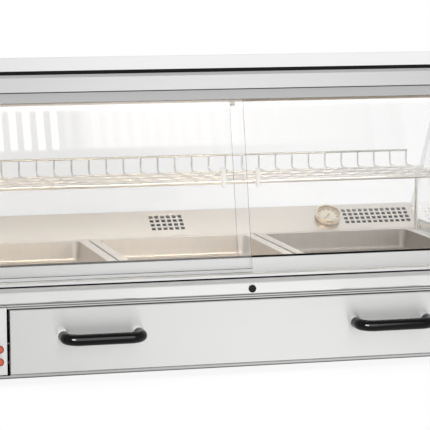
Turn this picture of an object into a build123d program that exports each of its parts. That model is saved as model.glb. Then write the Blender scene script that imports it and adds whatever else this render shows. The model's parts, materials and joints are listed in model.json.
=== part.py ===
"""Hot buffet counter: three removable pans, leaning sliding glass doors, a wire shelf and a drawer."""

import os
from math import atan2, cos, degrees, hypot, radians, sin, tan

from build123d import *

# Driving sizes in millimetres. The operator stands at -Y, guests at +Y, and Z is up.

# Pans: the counter's width and depth follow from three pans side by side
PAN_WIDTH = 325.0
PAN_LENGTH = 530.0
PAN_DEPTH = 40.0
PAN_RIM = 17.0
PAN_SHEET = 1.2
PAN_HEM = 4.0
PAN_DRAFT = 4.0
PAN_CORNER = 14.0
PAN_FOOT_RADIUS = 9.0
PAN_GAP = 5.0
PAN_LIFT_GAP = 3.0

# Casing
SIDE_MARGIN = 47.5
FRONT_MARGIN = 57.0
REAR_MARGIN = 83.0
FOOT_HEIGHT = 12.0
FOOT_RADIUS = 22.0
FOOT_CHAMFER = 2.0
FOOT_INSET_X = 98.0
FOOT_INSET_Y = 60.0
BODY_HEIGHT = 141.0
BASE_LIP = 5.6
BASE_EDGE = 3.5
BASE_WALL = 4.0
BACK_FOLD_RADIUS = 3.0
SHEET = 2.0
THIN_SHEET = 1.5
RIM_ABOVE_DECK = 8.0
PANEL_FOLD = 15.0
PANEL_GAP = 1.3
PANEL_FOOT_GAP = 1.0
APRON_CLEAR = 1.0
FIT_GAP = 0.3
CONTROL_WIDTH = 124.5
END_PANEL_WIDTH = 131.5

# Front apron and its black seal
APRON_HEIGHT = 25.0
APRON_FLANGE = 18.0
APRON_TOP_RADIUS = 7.5
APRON_FOOT_RADIUS = 3.0
STRIP_HEIGHT = 3.4
STRIP_SETBACK = 2.0
STRIP_DEPTH = 12.0
SEAL_HEIGHT = 2.6
PLUG_X = 2.5
PLUG_DROP = 3.8
PLUG_RADIUS = 6.5
PLUG_SHANK_RADIUS = 4.5
PLUG_HEAD = 2.0
PLUG_EDGE = 1.0
PLUG_SHANK = 4.5
PLUG_DIMPLE_RADIUS = 2.6
PLUG_DIMPLE = 0.7

# Leaning doors and their tracks
DOOR_LEAN = 12.0
DOOR_GLASS = 5.0
DOOR_OVERLAP = 20.0
DOOR_SETBACK = 30.0
DOOR_SIDE_GAP = 1.0
DOOR_CORNER = 4.0
TRACK_PITCH = 13.2
SHOE_WALL = 1.5
SHOE_HEIGHT = 8.0
TRACK_GAP = 0.7
SLIDE_GAP = 0.5
SILL_ABOVE_PANS = 40.0
LEDGE_ABOVE_PANS = 12.0
LIP_SEAL_HEIGHT = 3.5
TRACK_WALL = 2.0
TRACK_LIP = 19.5
LAMP_SHIELD = 26.0
TRACK_ROOF = 5.0
DOOR_TOP_GAP = 3.0
POST_WIDTH = 15.0
POST_INSET = 35.0
PULL_WIDTH = 8.5
PULL_LENGTH = 35.0
PULL_PROUD = 3.0
PULL_RIM = 1.5
PULL_DISH = 2.1
PULL_DRAFT = 10.0
PULL_DISH_DRAFT = 20.0
PULL_INSET = 42.0
PULL_HEIGHT = 134.0

# Fixed glass
GLASS = 6.0
GLASS_INSET = 23.0
GUEST_LEAN = 31.4
GUEST_GLASS_OVERHANG = 3.0
CHANNEL_HEIGHT = 15.0
GUEST_DEPTH = 10.0
GUEST_OUTER_DROP = 4.5
GUEST_INNER_DROP = 1.0
CHANNEL_WALL = 2.0
CHANNEL_GAP = 0.5
REAR_LEDGE = 15.0

# Vent panel behind the pans
VENT_RISE = 42.0
VENT_FOOT = 0.7
VENT_HOLE = 8.0
VENT_PITCH = 11.7
VENT_ROWS = 4
VENT_SHIFT = 2.0
CENTRE_COLUMNS = 6
SIDE_COLUMNS = 12
SIDE_VENT_INSET = 109.0

# Canopy
CANOPY_INSET = 10.0
CANOPY_SETBACK = 60.0
CANOPY_FACE = 28.5
CANOPY_BEVEL = 5.0
CANOPY_TRIM_STEP = 3.5
CANOPY_ABOVE_PANS = 321.0
FRONT_RAIL_DEPTH = 55.0
REAR_RAIL_DEPTH = 60.0
REAR_RAIL_DROP = 11.0
REAR_OVERHANG = 4.0
SIDE_RAIL_WIDTH = 25.0
TOP_THICKNESS = 6.0
TRIM_WIDTH = 3.0
LAMP_RADIUS = 6.0
LAMP_END_GAP = 55.0
LAMP_DROP = 11.0
LAMP_SETBACK = 90.0
HOLDER_LENGTH = 22.0
HOLDER_WIDTH = 18.0

# Wire shelf
SHELF_ABOVE_PANS = 131.5
SHELF_DEPTH = 200.0
FENCE_SETBACK = 20.0
FENCE_HEIGHT = 28.0
WIRE_RADIUS = 1.6
ROD_RADIUS = 2.2
RAIL_RADIUS = 4.0
LEG_RADIUS = 4.0
FENCE_END_INSET = 28.2
WIRE_COUNT = 29
ROD_COUNT = 4
FENCE_BEND = 7.0
WELD_GAP = 0.1
LEG_BEND = 14.0
LEG_OVERRUN = 17.0
LEG_PAN_GAP = 1.0

# Thermometer on the vent panel
DIAL_INSET = 211.5
DIAL_ALONG = 36.0
DIAL_RADIUS = 25.5
DIAL_STANDOFF = 4.0
DIAL_CASE = 10.0
DIAL_WALL = 1.5
STEM_RADIUS = 21.5
STEM_TAIL_RADIUS = 3.5
STEM_TAIL = 12.0
DIAL_POST_RADIUS = 1.0
POINTER_LENGTH = 18.0
POINTER_TAIL = 6.0
POINTER_HUB_RADIUS = 2.5
POINTER_REST = 225.0
POINTER_THICKNESS = 0.8
POINTER_GAP = 0.4
LENS_THICKNESS = 1.5

# Drawer
DRAWER_DROP = 4.6
DRAWER_SIDE_GAP = 4.5
DRAWER_FOLD = 16.0
DRAWER_EDGE = 2.5
TRAY_LENGTH = 500.0
TRAY_ABOVE_BASE = 10.0
TRAY_TO_WELL = 17.0
RUNNER_LENGTH = 480.0
RUNNER_HEIGHT = 30.0
RUNNER_SPACE = 15.5
SLIDE_THICKNESS = 8.0
SLIDE_LENGTH = 450.0
RUNNER_GAP = 0.5
RUNNER_LIP_GAP = 1.5
HANDLE_RADIUS = 9.5
HANDLE_REACH = 39.5
HANDLE_SPAN = 127.0
HANDLE_INSET = 152.4
HANDLE_BEND = 22.0
HANDLE_ABOVE_MIDDLE = 3.55

# Heating below the pans
WELL_MARGIN = 8.0
WELL_BELOW_PANS = 18.0
ELEMENT_RADIUS = 4.25
ELEMENT_SPREAD = 160.0
ELEMENT_BEND = 40.0
ELEMENT_MARGIN = 60.0
ELEMENT_TAIL = 12.0
SADDLE_HEIGHT = 5.0
SADDLE_THICKNESS = 4.0
SADDLE_WIDTH = 177.0
SADDLE_COUNT = 3
ELEMENT_GAP = 0.3

# Controls at the left end of the front
LAMP_ROW_X = 12.5
UPPER_ROW = 43.4
LOWER_ROW = 22.4
LAMP_LENS_RADIUS = 6.5
LAMP_LENS_DOME = 4.5
LAMP_LENS_ROUND = 3.6
LAMP_BARREL_RADIUS = 5.0
LAMP_BARREL = 18.0
SWITCH_X = 56.0
SWITCH_WIDTH = 30.0
SWITCH_HEIGHT = 13.0
SWITCH_FRAME = 2.0
SWITCH_DEPTH = 16.0
SWITCH_POCKET = 8.0
SWITCH_ANGLE = 8.0
ROCKER_GAP = 0.5
ROCKER_DISH = 1.6
ROCKER_PROUD = 3.2
KNOB_X = 62.0
KNOB_DROP = 30.3
KNOB_RADIUS = 19.0
KNOB_SKIRT = 4.0
KNOB_GRIP = 15.0
KNOB_GRIP_WIDTH = 11.0
KNOB_GRIP_DRAFT = 4.0
KNOB_EDGE = 1.3
KNOB_GAP = 0.6
SHAFT_RADIUS = 3.0
SHAFT_LENGTH = 12.0
THERMOSTAT_SIZE = 38.0
THERMOSTAT_DEPTH = 32.0
GLAND_INSET = 110.0
GLAND_UP = 30.4
GLAND_RADIUS = 11.0
GLAND_BORE = 4.5
GLAND_CAP_RADIUS = 8.25
GLAND_TAIL_RADIUS = 7.7
GLAND_REACH = 14.0
GLAND_TAIL = 10.0

# Values that follow from the driving sizes
PAN_PITCH = PAN_WIDTH + PAN_GAP
HALF_WIDTH = PAN_PITCH + PAN_WIDTH / 2 + SIDE_MARGIN
BODY_DEPTH = FRONT_MARGIN + PAN_LENGTH + REAR_MARGIN
HANDLE_OUT = HANDLE_REACH + HANDLE_RADIUS
FRONT_Y = HANDLE_OUT - (HANDLE_OUT + BODY_DEPTH + GLAND_REACH) / 2
BACK_Y = FRONT_Y + BODY_DEPTH
INNER_X = HALF_WIDTH - SHEET

BASE_Z = FOOT_HEIGHT
LIP_Z = BASE_Z + BASE_LIP
DECK_Z = BASE_Z + BODY_HEIGHT
PAN_Z = DECK_Z + PAN_HEM
RIM_Z = DECK_Z + RIM_ABOVE_DECK
APRON_Z = RIM_Z - APRON_HEIGHT
SILL_FRONT_Y = FRONT_Y + APRON_TOP_RADIUS
SEAL_Z = RIM_Z + SEAL_HEIGHT
SILL_Z = PAN_Z + SILL_ABOVE_PANS
LEDGE_Z = PAN_Z + LEDGE_ABOVE_PANS
CANOPY_Z = PAN_Z + CANOPY_ABOVE_PANS
TRIM_Z = CANOPY_Z + CANOPY_FACE

PAN_FRONT_Y = FRONT_Y + FRONT_MARGIN
PAN_BACK_Y = PAN_FRONT_Y + PAN_LENGTH
PAN_MID_Y = (PAN_FRONT_Y + PAN_BACK_Y) / 2
OPENING_BACK_Y = PAN_BACK_Y - PAN_RIM
PAN_CENTRES = (-PAN_PITCH, 0.0, PAN_PITCH)
CUT_WIDTH = PAN_WIDTH - 2 * PAN_RIM + 2 * PAN_LIFT_GAP
CUT_LENGTH = PAN_LENGTH - 2 * PAN_RIM + 2 * PAN_LIFT_GAP

LEAN_SIN = sin(radians(DOOR_LEAN))
LEAN_COS = cos(radians(DOOR_LEAN))
DOOR_Y = FRONT_Y + DOOR_SETBACK
DOOR_PLANE = Plane((0, DOOR_Y, SILL_Z), (1, 0, 0), (0, -LEAN_COS, LEAN_SIN))
POST_INNER_X = HALF_WIDTH - POST_INSET
POST_OUTER_X = POST_INNER_X + POST_WIDTH
SHOE_FOOT = -(SILL_Z - LEDGE_Z + THIN_SHEET) / LEAN_COS
GROOVE_FOOT = SHOE_FOOT - SLIDE_GAP
GLASS_FOOT = SHOE_FOOT + SHOE_WALL
TRACK_LIP_Z = CANOPY_Z - TRACK_LIP
TRACK_ROOF_Z = CANOPY_Z - TRACK_ROOF
REAR_GLASS_IN = TRACK_PITCH + DOOR_GLASS
SHOE_OUT = SHOE_WALL + TRACK_GAP
SILL_INNER = REAR_GLASS_IN + SHOE_OUT
SILL_BACK = SILL_INNER + TRACK_WALL

GUEST_SIN = sin(radians(GUEST_LEAN))
GUEST_COS = cos(radians(GUEST_LEAN))
GUEST_Y = BACK_Y - REAR_LEDGE
GUEST_Z = SILL_Z
GUEST_PLANE = Plane((0, GUEST_Y, GUEST_Z), (-1, 0, 0), (0, GUEST_COS, GUEST_SIN))
SIDE_GLASS_X = HALF_WIDTH - GLASS_INSET
REAR_RAIL_Z = CANOPY_Z - REAR_RAIL_DROP
CANOPY_X = HALF_WIDTH - CANOPY_INSET
CANOPY_FRONT_Y = FRONT_Y + CANOPY_SETBACK
FRONT_RAIL_BACK_Y = CANOPY_FRONT_Y + FRONT_RAIL_DEPTH
GUEST_TOP_Y = GUEST_Y - (REAR_RAIL_Z - GUEST_Z) * tan(radians(GUEST_LEAN)) + GLASS / GUEST_COS
CANOPY_BACK_Y = GUEST_TOP_Y + REAR_OVERHANG
REAR_RAIL_FRONT_Y = CANOPY_BACK_Y - REAR_RAIL_DEPTH
SIDE_RAIL_X = CANOPY_X - SIDE_RAIL_WIDTH

VENT_HALF = SIDE_GLASS_X - CHANNEL_WALL - 2 * CHANNEL_GAP
VENT_FOOT_Y = PAN_BACK_Y + CHANNEL_GAP
VENT_FOOT_Z = PAN_Z + VENT_FOOT
VENT_TOP_Z = PAN_Z + VENT_RISE
VENT_CLEAR = (CHANNEL_WALL + 2 * CHANNEL_GAP) / GUEST_COS
VENT_TOP_Y = GUEST_Y - (VENT_TOP_Z - GUEST_Z) * tan(radians(GUEST_LEAN)) - VENT_CLEAR
VENT_ANGLE = atan2(VENT_TOP_Z - VENT_FOOT_Z, VENT_TOP_Y - VENT_FOOT_Y)
VENT_LENGTH = hypot(VENT_TOP_Z - VENT_FOOT_Z, VENT_TOP_Y - VENT_FOOT_Y)
VENT_PLANE = Plane((0, VENT_FOOT_Y, VENT_FOOT_Z), (1, 0, 0), (0, -sin(VENT_ANGLE), cos(VENT_ANGLE)))

BAY_LEFT_X = -INNER_X + CONTROL_WIDTH
BAY_RIGHT_X = INNER_X - END_PANEL_WIDTH
BAY_HALF = (BAY_RIGHT_X - BAY_LEFT_X) / 2
DRAWER_X = (BAY_RIGHT_X + BAY_LEFT_X) / 2
DRAWER_WIDTH = 2 * (BAY_HALF - DRAWER_SIDE_GAP)
STRIP_Z = APRON_Z - STRIP_HEIGHT
FRONT_TOP_Z = STRIP_Z - PANEL_GAP
DRAWER_TOP_Z = FRONT_TOP_Z - DRAWER_DROP
FRONT_FOOT_Z = LIP_Z + PANEL_FOOT_GAP
WELL_FLOOR_Z = PAN_Z - PAN_DEPTH - WELL_BELOW_PANS
WELL_FOOT_Z = WELL_FLOOR_Z - THIN_SHEET
WELL_X = PAN_PITCH + CUT_WIDTH / 2 + WELL_MARGIN
WELL_FRONT_Y = PAN_MID_Y - CUT_LENGTH / 2 - WELL_MARGIN
WELL_BACK_Y = PAN_MID_Y + CUT_LENGTH / 2 + WELL_MARGIN
DECK_FOOT_Z = DECK_Z - SHEET
TRAY_HALF = BAY_HALF - RUNNER_SPACE
TRAY_FOOT_Z = BASE_Z + SHEET + TRAY_ABOVE_BASE
TRAY_TOP_Z = WELL_FOOT_Z - TRAY_TO_WELL
TRAY_FRONT_Y = FRONT_Y + DRAWER_FOLD
RUNNER_Z = (TRAY_FOOT_Z + TRAY_TOP_Z) / 2
PANEL_BACK_Y = FRONT_Y + THIN_SHEET
HANDLE_Z = (FRONT_TOP_Z + FRONT_FOOT_Z) / 2 + HANDLE_ABOVE_MIDDLE
ROW_HEIGHTS = (FRONT_FOOT_Z + UPPER_ROW, FRONT_FOOT_Z + LOWER_ROW)
KNOB_Z = FRONT_TOP_Z - KNOB_DROP
GLAND_X = GLAND_INSET - HALF_WIDTH
GLAND_Z = LIP_Z + GLAND_UP
DIAL_X = HALF_WIDTH - DIAL_INSET
SIDE_VENT_X = HALF_WIDTH - SIDE_VENT_INSET
LAMP_LENGTH = 2 * (SIDE_RAIL_X - LAMP_END_GAP)
DECK_FRONT_Y = FRONT_Y + APRON_FLANGE + APRON_CLEAR
GUEST_FOOT = -GUEST_DEPTH
CHANNEL_FOOT = GUEST_FOOT - CHANNEL_GAP

SHELF_Z = PAN_Z + SHELF_ABOVE_PANS
FENCE_Y = OPENING_BACK_Y - FENCE_SETBACK
RAIL_Y = FENCE_Y - SHELF_DEPTH
ROD_Z = SHELF_Z - WIRE_RADIUS - ROD_RADIUS
LEG_Z = ROD_Z - ROD_RADIUS - LEG_RADIUS
RAIL_Z = LEG_Z + LEG_RADIUS + RAIL_RADIUS
LEG_X = PAN_PITCH + PAN_WIDTH / 2 + LEG_PAN_GAP + LEG_RADIUS
FENCE_HALF = LEG_X - FENCE_END_INSET
WIRE_PITCH = 2 * FENCE_HALF / (WIRE_COUNT - 1)

os.makedirs("parts", exist_ok=True)


def save(builder, name):
    """Labels a finished sub-part and writes its own file."""
    builder.part.label = name
    export_step(builder.part, f"parts/{name}.step")


def lean_y(inward, height_z):
    """Y of a point a given way in from the front door's outer face, at the height Z."""
    return DOOR_Y + (inward + (height_z - SILL_Z) * LEAN_SIN) / LEAN_COS


def lean_point(inward, up):
    """(y, z) a given way in from the front door's outer face and up along it from the sill's top."""
    return (DOOR_Y + inward * LEAN_COS + up * LEAN_SIN, SILL_Z - inward * LEAN_SIN + up * LEAN_COS)


def guest_point(outward, up):
    """(y, z) a given way out from the guest glass's inner face and up along it."""
    return (GUEST_Y + outward * GUEST_COS - up * GUEST_SIN, GUEST_Z + outward * GUEST_SIN + up * GUEST_COS)


def bar_along_x(points, start_x, end_x):
    """A straight bar along X with a closed outline of (y, z) points."""
    with BuildPart() as bar:
        with BuildSketch(Plane.YZ.offset(start_x)):
            with BuildLine():
                Polyline(*points, close=True)
            make_face()
        extrude(amount=end_x - start_x)
    return bar


def block(x_range, y_range, z_range):
    """A plain rectangular block between its limits."""
    with BuildPart() as solid:
        with BuildSketch(Plane.XY.offset(z_range[0])):
            with Locations(((x_range[0] + x_range[1]) / 2, (y_range[0] + y_range[1]) / 2)):
                Rectangle(x_range[1] - x_range[0], y_range[1] - y_range[0])
        extrude(amount=z_range[1] - z_range[0])
    return solid


def round_bar(path_points, bend, radius):
    """A round bar bent along straight runs joined by arcs."""
    with BuildPart() as bar:
        with BuildLine() as path:
            FilletPolyline(*path_points, radius=bend)
        with BuildSketch(Plane(path.line @ 0, z_dir=path.line % 0)):
            Circle(radius)
        sweep()
    return bar


# Base tray with its rounded lower edge, and the feet
with BuildPart() as base_tray:
    with BuildSketch(Plane.XY.offset(BASE_Z)):
        with Locations((0, (FRONT_Y + BACK_Y) / 2)):
            Rectangle(2 * HALF_WIDTH, BODY_DEPTH)
    extrude(amount=BASE_LIP)
    fillet(base_tray.faces().sort_by(Axis.Z)[0].edges(), radius=BASE_EDGE)
    with BuildSketch(Plane.XY.offset(BASE_Z + SHEET)):
        with Locations((0, (FRONT_Y + BACK_Y) / 2)):
            Rectangle(2 * (HALF_WIDTH - BASE_WALL), BODY_DEPTH - 2 * BASE_WALL)
    extrude(amount=BASE_LIP, mode=Mode.SUBTRACT)
save(base_tray, "base_tray")

with BuildPart() as feet:
    with BuildSketch():
        with Locations((0, (FRONT_Y + BACK_Y) / 2)):
            with GridLocations(2 * (HALF_WIDTH - FOOT_INSET_X), BODY_DEPTH - 2 * FOOT_INSET_Y, 2, 2):
                Circle(FOOT_RADIUS)
    extrude(amount=FOOT_HEIGHT)
    chamfer(feet.faces().group_by(Axis.Z)[0].edges(), length=FOOT_CHAMFER)
save(feet, "feet")

# Outer side panels, up to the rim round the deck
for name, start in (("left_side_panel", -HALF_WIDTH), ("right_side_panel", INNER_X)):
    save(block((start, start + SHEET), (FRONT_Y, BACK_Y), (LIP_Z, RIM_Z)), name)

# Guest side panel: higher between the side glass, its top flange folded square to the leaning glass
flange_in = guest_point(-CHANNEL_WALL - CHANNEL_GAP, CHANNEL_FOOT - CHANNEL_WALL)
flange_out_z = flange_in[1] + (BACK_Y - flange_in[0]) * tan(radians(GUEST_LEAN))
with BuildPart() as back_panel:
    with BuildSketch(Plane.YZ.offset(-INNER_X)):
        with BuildLine():
            FilletPolyline((BACK_Y, LIP_Z), (BACK_Y, flange_out_z), flange_in, radius=BACK_FOLD_RADIUS)
            offset(amount=SHEET, side=Side.LEFT)
        make_face()
    extrude(amount=2 * INNER_X)
    with BuildSketch(Plane.XZ.offset(-BACK_Y)):
        with Locations((GLAND_X, GLAND_Z)):
            Circle(GLAND_TAIL_RADIUS + FIT_GAP)
    extrude(amount=SHEET, mode=Mode.SUBTRACT)
    with BuildSketch(Plane.XY.offset(RIM_Z)):
        with Locations((-INNER_X, BACK_Y), (INNER_X, BACK_Y)):
            Rectangle(2 * (INNER_X - VENT_HALF), 2 * (BACK_Y - VENT_TOP_Y))
    extrude(amount=VENT_TOP_Z - RIM_Z, mode=Mode.SUBTRACT)
save(back_panel, "back_panel")

# Front apron: a folded channel with a well rounded top
apron_points = [
    (FRONT_Y + APRON_FLANGE, RIM_Z),
    (FRONT_Y, RIM_Z),
    (FRONT_Y, APRON_Z),
    (FRONT_Y + APRON_FLANGE, APRON_Z),
]
PLUG_Z = (RIM_Z + APRON_Z) / 2 - PLUG_DROP
with BuildPart() as front_apron:
    with BuildSketch(Plane.YZ.offset(-INNER_X)):
        with BuildLine():
            FilletPolyline(*apron_points, radius=[APRON_TOP_RADIUS, APRON_FOOT_RADIUS])
            offset(amount=THIN_SHEET, side=Side.LEFT)
        make_face()
    extrude(amount=2 * INNER_X)
    with BuildSketch(Plane.XZ.offset(-FRONT_Y - APRON_FLANGE)):
        with Locations((PLUG_X, PLUG_Z)):
            Circle(PLUG_SHANK_RADIUS + FIT_GAP)
    extrude(amount=APRON_FLANGE, mode=Mode.SUBTRACT)
save(front_apron, "front_apron")

# Black press-in plug in the middle of the apron
with BuildPart() as apron_plug:
    with BuildSketch(Plane.XZ.offset(-FRONT_Y)):
        with Locations((PLUG_X, PLUG_Z)):
            Circle(PLUG_RADIUS)
    extrude(amount=PLUG_HEAD)
    fillet(apron_plug.faces().sort_by(Axis.Y)[0].edges(), radius=PLUG_EDGE)
    with BuildSketch(Plane.XZ.offset(-FRONT_Y + PLUG_HEAD)):
        with Locations((PLUG_X, PLUG_Z)):
            Circle(PLUG_DIMPLE_RADIUS)
    extrude(amount=-PLUG_DIMPLE, mode=Mode.SUBTRACT)
    with BuildSketch(Plane.XZ.offset(-FRONT_Y)):
        with Locations((PLUG_X, PLUG_Z)):
            Circle(PLUG_SHANK_RADIUS)
    extrude(amount=-PLUG_SHANK)
save(apron_plug, "apron_plug")


def folded_front(left_x, right_x):
    """A front panel folded back on all four sides, open behind."""
    with BuildPart() as panel:
        with BuildSketch(Plane.XZ.offset(-FRONT_Y - PANEL_FOLD)):
            with Locations(((left_x + right_x) / 2, (FRONT_TOP_Z + FRONT_FOOT_Z) / 2)):
                Rectangle(right_x - left_x, FRONT_TOP_Z - FRONT_FOOT_Z)
        extrude(amount=PANEL_FOLD)
        fillet(panel.faces().sort_by(Axis.Y)[0].edges(), radius=DRAWER_EDGE)
        offset(amount=-THIN_SHEET, openings=panel.faces().sort_by(Axis.Y)[-1])
    return panel


# Control panel with its holes, and the plain panel at the other end
LAMP_X = BAY_LEFT_X - LAMP_ROW_X
SWITCH_MID_X = BAY_LEFT_X - SWITCH_X
KNOB_MID_X = BAY_LEFT_X - KNOB_X
lamp_places = [(LAMP_X, z) for z in ROW_HEIGHTS]
switch_places = [(SWITCH_MID_X, z) for z in ROW_HEIGHTS]
plain_panel = folded_front(-INNER_X, BAY_LEFT_X)
with BuildPart() as control_panel:
    add(plain_panel.part)
    with BuildSketch(Plane.XZ.offset(-PANEL_BACK_Y)):
        with Locations(*lamp_places):
            Circle(LAMP_BARREL_RADIUS + FIT_GAP)
        with Locations(*switch_places):
            Rectangle(SWITCH_WIDTH + FIT_GAP, SWITCH_HEIGHT + FIT_GAP)
        with Locations((KNOB_MID_X, KNOB_Z)):
            Circle(SHAFT_RADIUS + FIT_GAP)
    extrude(amount=THIN_SHEET, mode=Mode.SUBTRACT)
save(control_panel, "control_panel")
save(folded_front(BAY_RIGHT_X, INNER_X), "right_front_panel")

# Indicator lamps: red domes on barrels through the panel
with BuildPart() as indicator_lamps:
    with BuildSketch(Plane.XZ.offset(-FRONT_Y)):
        with Locations(*lamp_places):
            Circle(LAMP_LENS_RADIUS)
    extrude(amount=LAMP_LENS_DOME)
    fillet(indicator_lamps.faces().group_by(Axis.Y)[0].edges(), radius=LAMP_LENS_ROUND)
    with BuildSketch(Plane.XZ.offset(-FRONT_Y)):
        with Locations(*lamp_places):
            Circle(LAMP_BARREL_RADIUS)
    extrude(amount=-LAMP_BARREL)
save(indicator_lamps, "indicator_lamps")

# Switch housings: a frame on the panel's face and a box behind it
with BuildPart() as switch_housings:
    with BuildSketch(Plane.XZ.offset(-FRONT_Y)):
        with Locations(*switch_places):
            Rectangle(SWITCH_WIDTH + 2 * SWITCH_FRAME, SWITCH_HEIGHT + 2 * SWITCH_FRAME)
    extrude(amount=SWITCH_FRAME)
    with BuildSketch(Plane.XZ.offset(-FRONT_Y)):
        with Locations(*switch_places):
            Rectangle(SWITCH_WIDTH, SWITCH_HEIGHT)
    extrude(amount=-SWITCH_DEPTH)
    with BuildSketch(Plane.XZ.offset(-FRONT_Y + SWITCH_FRAME)):
        with Locations(*switch_places):
            Rectangle(SWITCH_WIDTH - SWITCH_FRAME, SWITCH_HEIGHT - SWITCH_FRAME)
    extrude(amount=-SWITCH_FRAME - SWITCH_POCKET, mode=Mode.SUBTRACT)
save(switch_housings, "switch_housings")

# Rockers, each tilted to its off position about an upright axis
rocker_half = (SWITCH_WIDTH - SWITCH_FRAME) / 2 - ROCKER_GAP
rocker_end = rocker_half - ROCKER_GAP
rocker_height = SWITCH_HEIGHT - SWITCH_FRAME - 2 * ROCKER_GAP
for name, height in zip(("upper_rocker", "lower_rocker"), ROW_HEIGHTS):
    pivot = Plane((SWITCH_MID_X, FRONT_Y, height - rocker_height / 2)).rotated((0, 0, SWITCH_ANGLE))
    with BuildPart() as rocker:
        with BuildSketch(pivot):
            with BuildLine():
                Polyline(
                    (-rocker_end, SWITCH_FRAME),
                    (-rocker_end, -ROCKER_PROUD),
                    (0, -ROCKER_PROUD + ROCKER_DISH),
                    (rocker_end, -ROCKER_PROUD),
                    (rocker_end, SWITCH_FRAME),
                    close=True,
                )
            make_face()
        extrude(amount=rocker_height)
    save(rocker, name)

# Thermostat behind the panel, with its shaft, and the knob on the shaft
with BuildPart() as thermostat_body:
    with BuildSketch(Plane.XZ.offset(-PANEL_BACK_Y)):
        with Locations((KNOB_MID_X, KNOB_Z)):
            RectangleRounded(THERMOSTAT_SIZE, THERMOSTAT_SIZE, SHAFT_RADIUS)
    extrude(amount=-THERMOSTAT_DEPTH)
    with BuildSketch(Plane.XZ.offset(-PANEL_BACK_Y)):
        with Locations((KNOB_MID_X, KNOB_Z)):
            Circle(SHAFT_RADIUS)
    extrude(amount=THIN_SHEET + SHAFT_LENGTH)
save(thermostat_body, "thermostat_body")

with BuildPart() as thermostat_knob:
    with BuildSketch(Plane.XZ.offset(-FRONT_Y + KNOB_GAP)):
        with Locations((KNOB_MID_X, KNOB_Z)):
            Circle(KNOB_RADIUS)
    extrude(amount=KNOB_SKIRT)
    chamfer(thermostat_knob.faces().sort_by(Axis.Y)[0].edges(), length=KNOB_EDGE)
    with BuildSketch(Plane.XZ.offset(-FRONT_Y + KNOB_GAP + KNOB_SKIRT)):
        with Locations((KNOB_MID_X, KNOB_Z)):
            SlotOverall(2 * KNOB_RADIUS - 2 * KNOB_SKIRT, KNOB_GRIP_WIDTH, rotation=90)
    extrude(amount=KNOB_GRIP, taper=KNOB_GRIP_DRAFT)
    fillet(thermostat_knob.faces().sort_by(Axis.Y)[0].edges(), radius=KNOB_EDGE)
    with BuildSketch(Plane.XZ.offset(-FRONT_Y + KNOB_GAP)):
        with Locations((KNOB_MID_X, KNOB_Z)):
            Circle(SHAFT_RADIUS + FIT_GAP)
    extrude(amount=SHAFT_LENGTH, mode=Mode.SUBTRACT)
save(thermostat_knob, "thermostat_knob")

# Mains cable gland in the guest side panel: hexagon outside, threaded tail and nut inside
with BuildPart() as cable_gland:
    with BuildSketch(Plane.XZ.offset(-BACK_Y)):
        with Locations((GLAND_X, GLAND_Z)):
            RegularPolygon(GLAND_RADIUS, 6)
    extrude(amount=-GLAND_REACH / 2)
    with BuildSketch(Plane.XZ.offset(-BACK_Y - GLAND_REACH / 2)):
        with Locations((GLAND_X, GLAND_Z)):
            Circle(GLAND_CAP_RADIUS)
    extrude(amount=-GLAND_REACH / 2)
    with BuildSketch(Plane.XZ.offset(-BACK_Y)):
        with Locations((GLAND_X, GLAND_Z)):
            Circle(GLAND_TAIL_RADIUS)
    extrude(amount=SHEET + GLAND_TAIL)
    with BuildSketch(Plane.XZ.offset(-BACK_Y - GLAND_REACH)):
        with Locations((GLAND_X, GLAND_Z)):
            Circle(GLAND_BORE)
    extrude(amount=GLAND_REACH + SHEET + GLAND_TAIL, mode=Mode.SUBTRACT)
save(cable_gland, "cable_gland")

# Bay walls on both sides of the drawer, which carry the heating well and the runners, and a strip under the
# apron that comes lower over the drawer
strip_middle_y = FRONT_Y + STRIP_SETBACK + STRIP_DEPTH / 2
strip_foot = DRAWER_TOP_Z + PANEL_GAP
with BuildPart() as bay_walls:
    with BuildSketch(Plane.YZ.offset(BAY_LEFT_X)):
        with Locations(((FRONT_Y + PANEL_FOLD + WELL_BACK_Y) / 2, (BASE_Z + SHEET + WELL_FOOT_Z) / 2)):
            Rectangle(WELL_BACK_Y - FRONT_Y - PANEL_FOLD, WELL_FOOT_Z - BASE_Z - SHEET)
    extrude(amount=-SHEET)
    mirror(about=Plane.YZ.offset(DRAWER_X))
    with BuildSketch(Plane.XY.offset(STRIP_Z)):
        with Locations((0, strip_middle_y)):
            Rectangle(2 * (INNER_X - CHANNEL_GAP), STRIP_DEPTH)
    extrude(amount=STRIP_HEIGHT)
    with BuildSketch(Plane.XY.offset(strip_foot)):
        with Locations((DRAWER_X, strip_middle_y)):
            Rectangle(2 * (BAY_HALF - CHANNEL_GAP), STRIP_DEPTH)
    extrude(amount=STRIP_Z - strip_foot)
save(bay_walls, "bay_walls")

# Deck plate with an opening for each pan
with BuildPart() as deck_plate:
    with BuildSketch(Plane.XY.offset(DECK_FOOT_Z)):
        with Locations((0, (DECK_FRONT_Y + BACK_Y - SHEET) / 2)):
            Rectangle(2 * INNER_X, BACK_Y - SHEET - DECK_FRONT_Y)
        with Locations(*[(x, PAN_MID_Y) for x in PAN_CENTRES]):
            RectangleRounded(CUT_WIDTH, CUT_LENGTH, PAN_CORNER, mode=Mode.SUBTRACT)
    extrude(amount=SHEET)
save(deck_plate, "deck_plate")

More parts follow.
